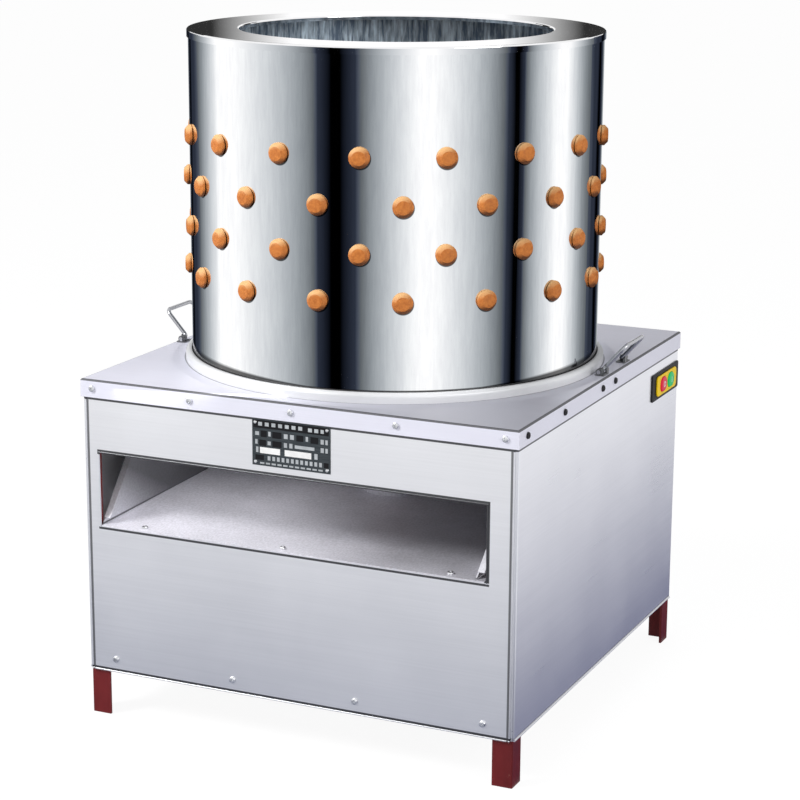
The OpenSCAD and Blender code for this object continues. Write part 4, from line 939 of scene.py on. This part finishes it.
def screw_head(name):
    """Pan head with a cross recess, its seat on the XY plane."""
    cross = []
    for turn in range(4):
        for x, y in ((CROSS_HALF, CROSS_HALF), (CROSS_HALF, CROSS_REACH), (-CROSS_HALF, CROSS_REACH)):
            for _ in range(turn):
                x, y = -y, x
            cross.append((x, y))
    work = bmesh.new()
    top = [work.verts.new((x, y, SCREW_H)) for x, y in cross]
    pit = [work.verts.new((CROSS_TAPER * x, CROSS_TAPER * y, SCREW_H - CROSS_DEEP)) for x, y in cross]
    rings = [ring_of(work, wide * SCREW_R, rise * SCREW_H, SCREW_SIDES) for wide, rise in SCREW_RINGS]
    for upper, lower in [(top, pit), *zip(rings, rings[1:])]:
        bridge(work, upper, lower)
    work.faces.new(pit)
    borders = []
    for loop in (top, rings[0]):
        for i in range(len(loop)):
            borders.append(work.edges.get((loop[i], loop[(i + 1) % len(loop)])))
    bmesh.ops.triangle_fill(work, edges=borders, use_beauty=True)
    work.faces.new(rings[-1])
    return to_mesh(name, work)


def spread(low, high, count):
    return [low + (high - low) * i / (count - 1) for i in range(count)]


def face_sites(node, count):
    """Sites of the screws on the front and rear faces, from the node's own box."""
    low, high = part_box(node)
    height = (low.z + high.z) / 2
    sites = []
    for x in spread(low.x + SCREW_R, high.x - SCREW_R, count):
        sites.append((Vector((x, low.y + SCREW_H, height)), Vector((0, -1, 0))))
        sites.append((Vector((x, high.y - SCREW_H, height)), Vector((0, 1, 0))))
    return sites


def side_sites():
    """Sites of the screws on the left and right faces."""
    low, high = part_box("side_screws")
    sites = []
    for step in SIDE_SCREW_STEPS:
        place = (deck_low.y + step, (low.z + high.z) / 2)
        sites.append((Vector((low.x + SCREW_H, *place)), Vector((-1, 0, 0))))
        sites.append((Vector((high.x - SCREW_H, *place)), Vector((1, 0, 0))))
    return sites


def chute_sites():
    """Sites of the screws on the chute floor."""
    low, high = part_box("chute_screws")
    wide = high.x - low.x - 2 * SCREW_R
    sites = []
    for share in CHUTE_SCREW_SHARES:
        x = low.x + SCREW_R + share * wide
        sites.append((Vector((x, (low.y + high.y) / 2, high.z - SCREW_H)), UP))
    return sites


SCREW_SETS = (
    ("deck_screws", face_sites("deck_screws", 5), "zinc_steel"),
    ("panel_screws", face_sites("panel_screws", 4), "zinc_steel"),
    ("side_screws", side_sites(), "black_steel"),
    ("chute_screws", chute_sites(), "zinc_steel"),
)
for node, sites, slot in SCREW_SETS:
    mesh = repeated(node + "_heads", screw_head(node + "_head"), sites, FINISHES[slot])
    own(node + "_heads", mesh, FINISHES[slot], "cabinet", slot, node)


# Rating plate, with bare fields

def plate_fields(fields):
    """Fields in hundredths of the plate's width and height, in metres about its middle."""
    wide = plate_high.x - plate_low.x
    tall = plate_high.z - plate_low.z
    placed = []
    for left, low, right, high in fields:
        lower = ((left / 100 - 0.5) * wide, (low / 100 - 0.5) * tall)
        upper = ((right / 100 - 0.5) * wide, (high / 100 - 0.5) * tall)
        placed.append((*lower, *upper))
    return placed


PLATE_SETS = (
    ("plate_black_fields", BLACK_BOXES, BOX_T, BLACK_FIELD, "black_plastic"),
    ("plate_silver_fields", HEADER_MARKS + SMALL_MARKS + FOOT_MARKS, MARK_T, SILVER, "zinc_steel"),
    ("plate_pale_fields", PALE_BOXES, MARK_T, WHITE_MARK, "etched_plate"),
)
plate_middle = (plate_low + plate_high) / 2
plate_face = upright_plane((plate_middle.x, plate_low.y, plate_middle.z), (1, 0, 0))
for name, fields, depth, finish, slot in PLATE_SETS:
    own(name, tiles(name, plate_fields(fields), depth, plate_face), finish, "cabinet", slot)


# Switch

def right_side(node):
    """A node's box on the right side: its low and high corners, middle, width and height."""
    low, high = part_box(node)
    return low, high, (low + high) / 2, high.y - low.y, high.z - low.z


def pressed_key(name, node, slot):
    """Button with a soft edge and a slightly crowned face. Gives the plane of that face."""
    low, high, middle, wide, tall = right_side(node)
    rings = [(round_rect(wide, tall, KEY_ROUND), 0)]
    for inset, rise in KEY_RINGS:
        outline = round_rect(wide - 2 * inset, tall - 2 * inset, KEY_ROUND - inset)
        rings.append((outline, high.x - low.x + rise))
    place = upright_plane((low.x, middle.y, middle.z), (0, 1, 0))
    own(name, loft(name, rings, place), FINISHES[slot], node, slot, node)
    return upright_plane((high.x + KEY_CROWN, middle.y, middle.z), (0, 1, 0))


def holed_slab(name, node, slot, corner, edge):
    """Plate in the place of a node, with a hole for each button."""
    low, high, middle, wide, tall = right_side(node)
    outlines = [round_rect(wide, tall, corner)]
    for key in ("start_button", "stop_button"):
        _, _, key_middle, key_wide, key_tall = right_side(key)
        outlines.append(round_rect(key_wide + 2 * KEY_GAP, key_tall + 2 * KEY_GAP, KEY_ROUND + KEY_GAP,
                                   (key_middle.y - middle.y, 0)))
    place = upright_plane((low.x, middle.y, middle.z), (0, 1, 0))
    own(name, slab(name, outlines, high.x - low.x, edge, place), FINISHES[slot], "cabinet", slot, node)


holed_slab("switch_back", "switch_plate", "black_plastic", PLATE_ROUND, PLATE_EDGE)
holed_slab("switch_frame", "switch_bezel", "yellow_plastic", BEZEL_ROUND, BEZEL_EDGE)
stop_face = pressed_key("stop_key", "stop_button", "red_plastic")
start_face = pressed_key("start_key", "start_button", "green_plastic")
mark_profile = [(STOP_MARK_IN, 0), (STOP_MARK_OUT, 0), (STOP_MARK_OUT, MARK_T), (STOP_MARK_IN, MARK_T)]
stop_mark = lathe("stop_mark", mark_profile + mark_profile[:1], STOP_MARK_SIDES)
stop_mark.transform(stop_face)
own("stop_mark", stop_mark, WHITE_MARK, "stop_button", "red_plastic")
start_mark = tiles("start_mark", [START_MARK], MARK_T, start_face)
own("start_mark", start_mark, WHITE_MARK, "start_button", "green_plastic")


# Studio

def glowing(name):
    """A new material without nodes, for a studio piece."""
    material = bpy.data.materials.new(name)
    material.use_nodes = True
    material.node_tree.nodes.clear()
    return material, material.node_tree


def glow(tree, colour, strength):
    light = wire(tree, "ShaderNodeEmission", {"Color": rgba(colour), "Strength": strength})
    wire(tree, "ShaderNodeOutputMaterial", {"Surface": light.outputs[0]})


def stage_piece(name, places, faces, material, mirrored_only):
    """A studio piece from its corners and faces, which may show only in shiny metal."""
    mesh = bpy.data.meshes.new(name)
    mesh.from_pydata(places, [], faces)
    mesh.materials.append(material)
    made = added(name, mesh)
    if mirrored_only:
        made.visible_camera = False
        made.visible_diffuse = False
        made.visible_shadow = False
        made.visible_transmission = False


def camera():
    """The camera, as solved from the photo."""
    flat = math.cos(CAMERA_ELEVATION)
    back = Vector((math.sin(CAMERA_AZIMUTH) * flat, -math.cos(CAMERA_AZIMUTH) * flat,
                   math.sin(CAMERA_ELEVATION)))
    level_up = back.cross(SIDEWAYS)
    right = math.cos(CAMERA_ROLL) * SIDEWAYS + math.sin(CAMERA_ROLL) * level_up
    up = math.cos(CAMERA_ROLL) * level_up - math.sin(CAMERA_ROLL) * SIDEWAYS
    data = bpy.data.cameras.new("Camera")
    data.lens = CAMERA_LENS
    data.sensor_width = SENSOR_WIDTH
    data.clip_end = CAMERA_FAR
    made = added("Camera", data)
    made.matrix_world = Matrix.Translation(CAMERA_PLACE) @ Matrix((right, up, back)).transposed().to_4x4()
    bpy.context.scene.camera = made


def floor():
    """Pale floor with a shadow on white. Mirrored in the panels, it is painted darker towards the cabinet."""
    material, tree = glowing("Studio floor")
    axes = axes_of(tree)
    beside = level(tree, axes["X"], panel_high.x, panel_high.x + SIDE_SHADE_REACH)
    before = level(tree, calc(tree, "MULTIPLY", axes["Y"], -1.0), DECK_Y, DECK_Y + FRONT_SHADE_REACH)
    side_tone = mix(tree, beside, SIDE_SHADE, SIDE_OPEN)
    side_tone = mix(tree, calc(tree, "LESS_THAN", axes["X"], panel_high.x), side_tone, WHITE)
    front_tone = mix(tree, before, FRONT_SHADE, WHITE)
    front_tone = mix(tree, calc(tree, "GREATER_THAN", axes["Y"], -DECK_Y), front_tone, WHITE)
    tone = vector_calc(tree, "MULTIPLY", side_tone, front_tone)
    path = wire(tree, "ShaderNodeLightPath").outputs
    mirrored = calc(tree, "MAXIMUM", path["Is Glossy Ray"], path["Is Transmission Ray"])
    colour = mix(tree, mirrored, FLOOR_SEEN, tone)
    white = wire(tree, "ShaderNodeEmission", {"Color": colour, "Strength": 1.0})
    matt = wire(tree, "ShaderNodeBsdfDiffuse", {"Color": rgba(FLOOR_MATT)})
    share = calc(tree, "MULTIPLY", path["Is Camera Ray"], FLOOR_GLOW_SHARE)
    share = calc(tree, "MAXIMUM", share, mirrored)
    both = wire(tree, "ShaderNodeMixShader", {0: share, 1: matt.outputs[0], 2: white.outputs[0]})
    wire(tree, "ShaderNodeOutputMaterial", {"Surface": both.outputs[0]})
    corners = [(x * FLOOR_REACH, y * FLOOR_REACH, FLOOR_Z) for x, y in ((-1, -1), (1, -1), (1, 1), (-1, 1))]
    stage_piece("studio_floor", corners, [(0, 1, 2, 3)], material, False)


def reflection_ring():
    """Wall of soft white with dark flags close round the drum, seen only in polished metal."""
    material, tree = glowing("Reflection ring")
    axes = axes_of(tree)
    forward = calc(tree, "MULTIPLY", axes["Y"], -1.0)
    azimuth = calc(tree, "DEGREES", calc(tree, "ARCTAN2", axes["X"], forward))
    parts = []
    for start, end, before_width, before_power, after_width, after_power in FLAGS:
        half = (end - start) / 2
        away = wrapped(tree, calc(tree, "SUBTRACT", azimuth, start + half), 180.0)
        after = calc(tree, "POWER", level(tree, away, half, half + after_width), after_power)
        before = calc(tree, "POWER", level(tree, away, -half, -half - before_width), before_power)
        shoulder = level(tree, calc(tree, "ABSOLUTE", away), FLAG_CORE * half, half, 0, FLAG_SHOULDER)
        parts.append(joined(tree, "MAXIMUM", after, before, shoulder))
    light = joined(tree, "MINIMUM", *parts)
    pale = mix(tree, light, RING_PALE, WHITE)
    tone = mix(tree, level(tree, light, 0, FLAG_TONE_TO), FLAG_TONE, pale)
    glow(tree, tone, calc(tree, "MULTIPLY", light, RING_GLOW))
    turns = [2 * math.pi * i / RING_STEPS for i in range(RING_STEPS)]
    places = [(RING_R * math.cos(t), RING_R * math.sin(t), z) for z in (RING_LOW, RING_HIGH) for t in turns]
    faces = []
    for i in range(RING_STEPS):
        j = (i + 1) % RING_STEPS
        faces.append((i, j, RING_STEPS + j, RING_STEPS + i))
    stage_piece("reflection_ring", places, faces, material, True)


def rim_card():
    """Card behind the drum that the flat rim mirrors: white in the middle, dark at both sides."""
    material, tree = glowing("Rim card")
    glow(tree, WHITE, level(tree, aside_of(tree), *CARD_FADE, *CARD_GLOW))
    middle = Vector((-math.sin(CAMERA_AZIMUTH), math.cos(CAMERA_AZIMUTH), 0)) * CARD_AWAY
    corners = []
    for side, height in ((-1, CARD_LOW), (1, CARD_LOW), (1, CARD_HIGH), (-1, CARD_HIGH)):
        corners.append(middle + SIDEWAYS * (side * CARD_HALF) + Vector((0, 0, height)))
    stage_piece("rim_card", corners, [(0, 1, 2, 3)], material, True)


def world():
    """White sky, stronger for camera, mirror and glass rays than as light that falls on things."""
    made = bpy.data.worlds.new("Studio")
    made.use_nodes = True
    tree = made.node_tree
    tree.nodes.clear()
    path = wire(tree, "ShaderNodeLightPath").outputs
    rays = [path[name] for name in ("Is Camera Ray", "Is Glossy Ray", "Is Transmission Ray")]
    strength = level(tree, joined(tree, "MAXIMUM", *rays), 0, 1, *SKY_STRENGTH)
    sky = wire(tree, "ShaderNodeBackground", {"Color": rgba(WHITE), "Strength": strength})
    wire(tree, "ShaderNodeOutputWorld", {"Surface": sky.outputs[0]})
    bpy.context.scene.world = made


def soft_lamp(name, place, target, size, power, angle):
    data = bpy.data.lights.new(name, "AREA")
    data.size = size
    data.energy = power
    data.spread = math.radians(angle)
    made = added(name, data)
    made.location = place
    made.rotation_euler = (Vector(target) - Vector(place)).to_track_quat("-Z", "Y").to_euler()


camera()
floor()
reflection_ring()
rim_card()
world()
for lamp in LAMPS:
    soft_lamp(*lamp)
bpy.context.scene.view_settings.view_transform = "Standard"
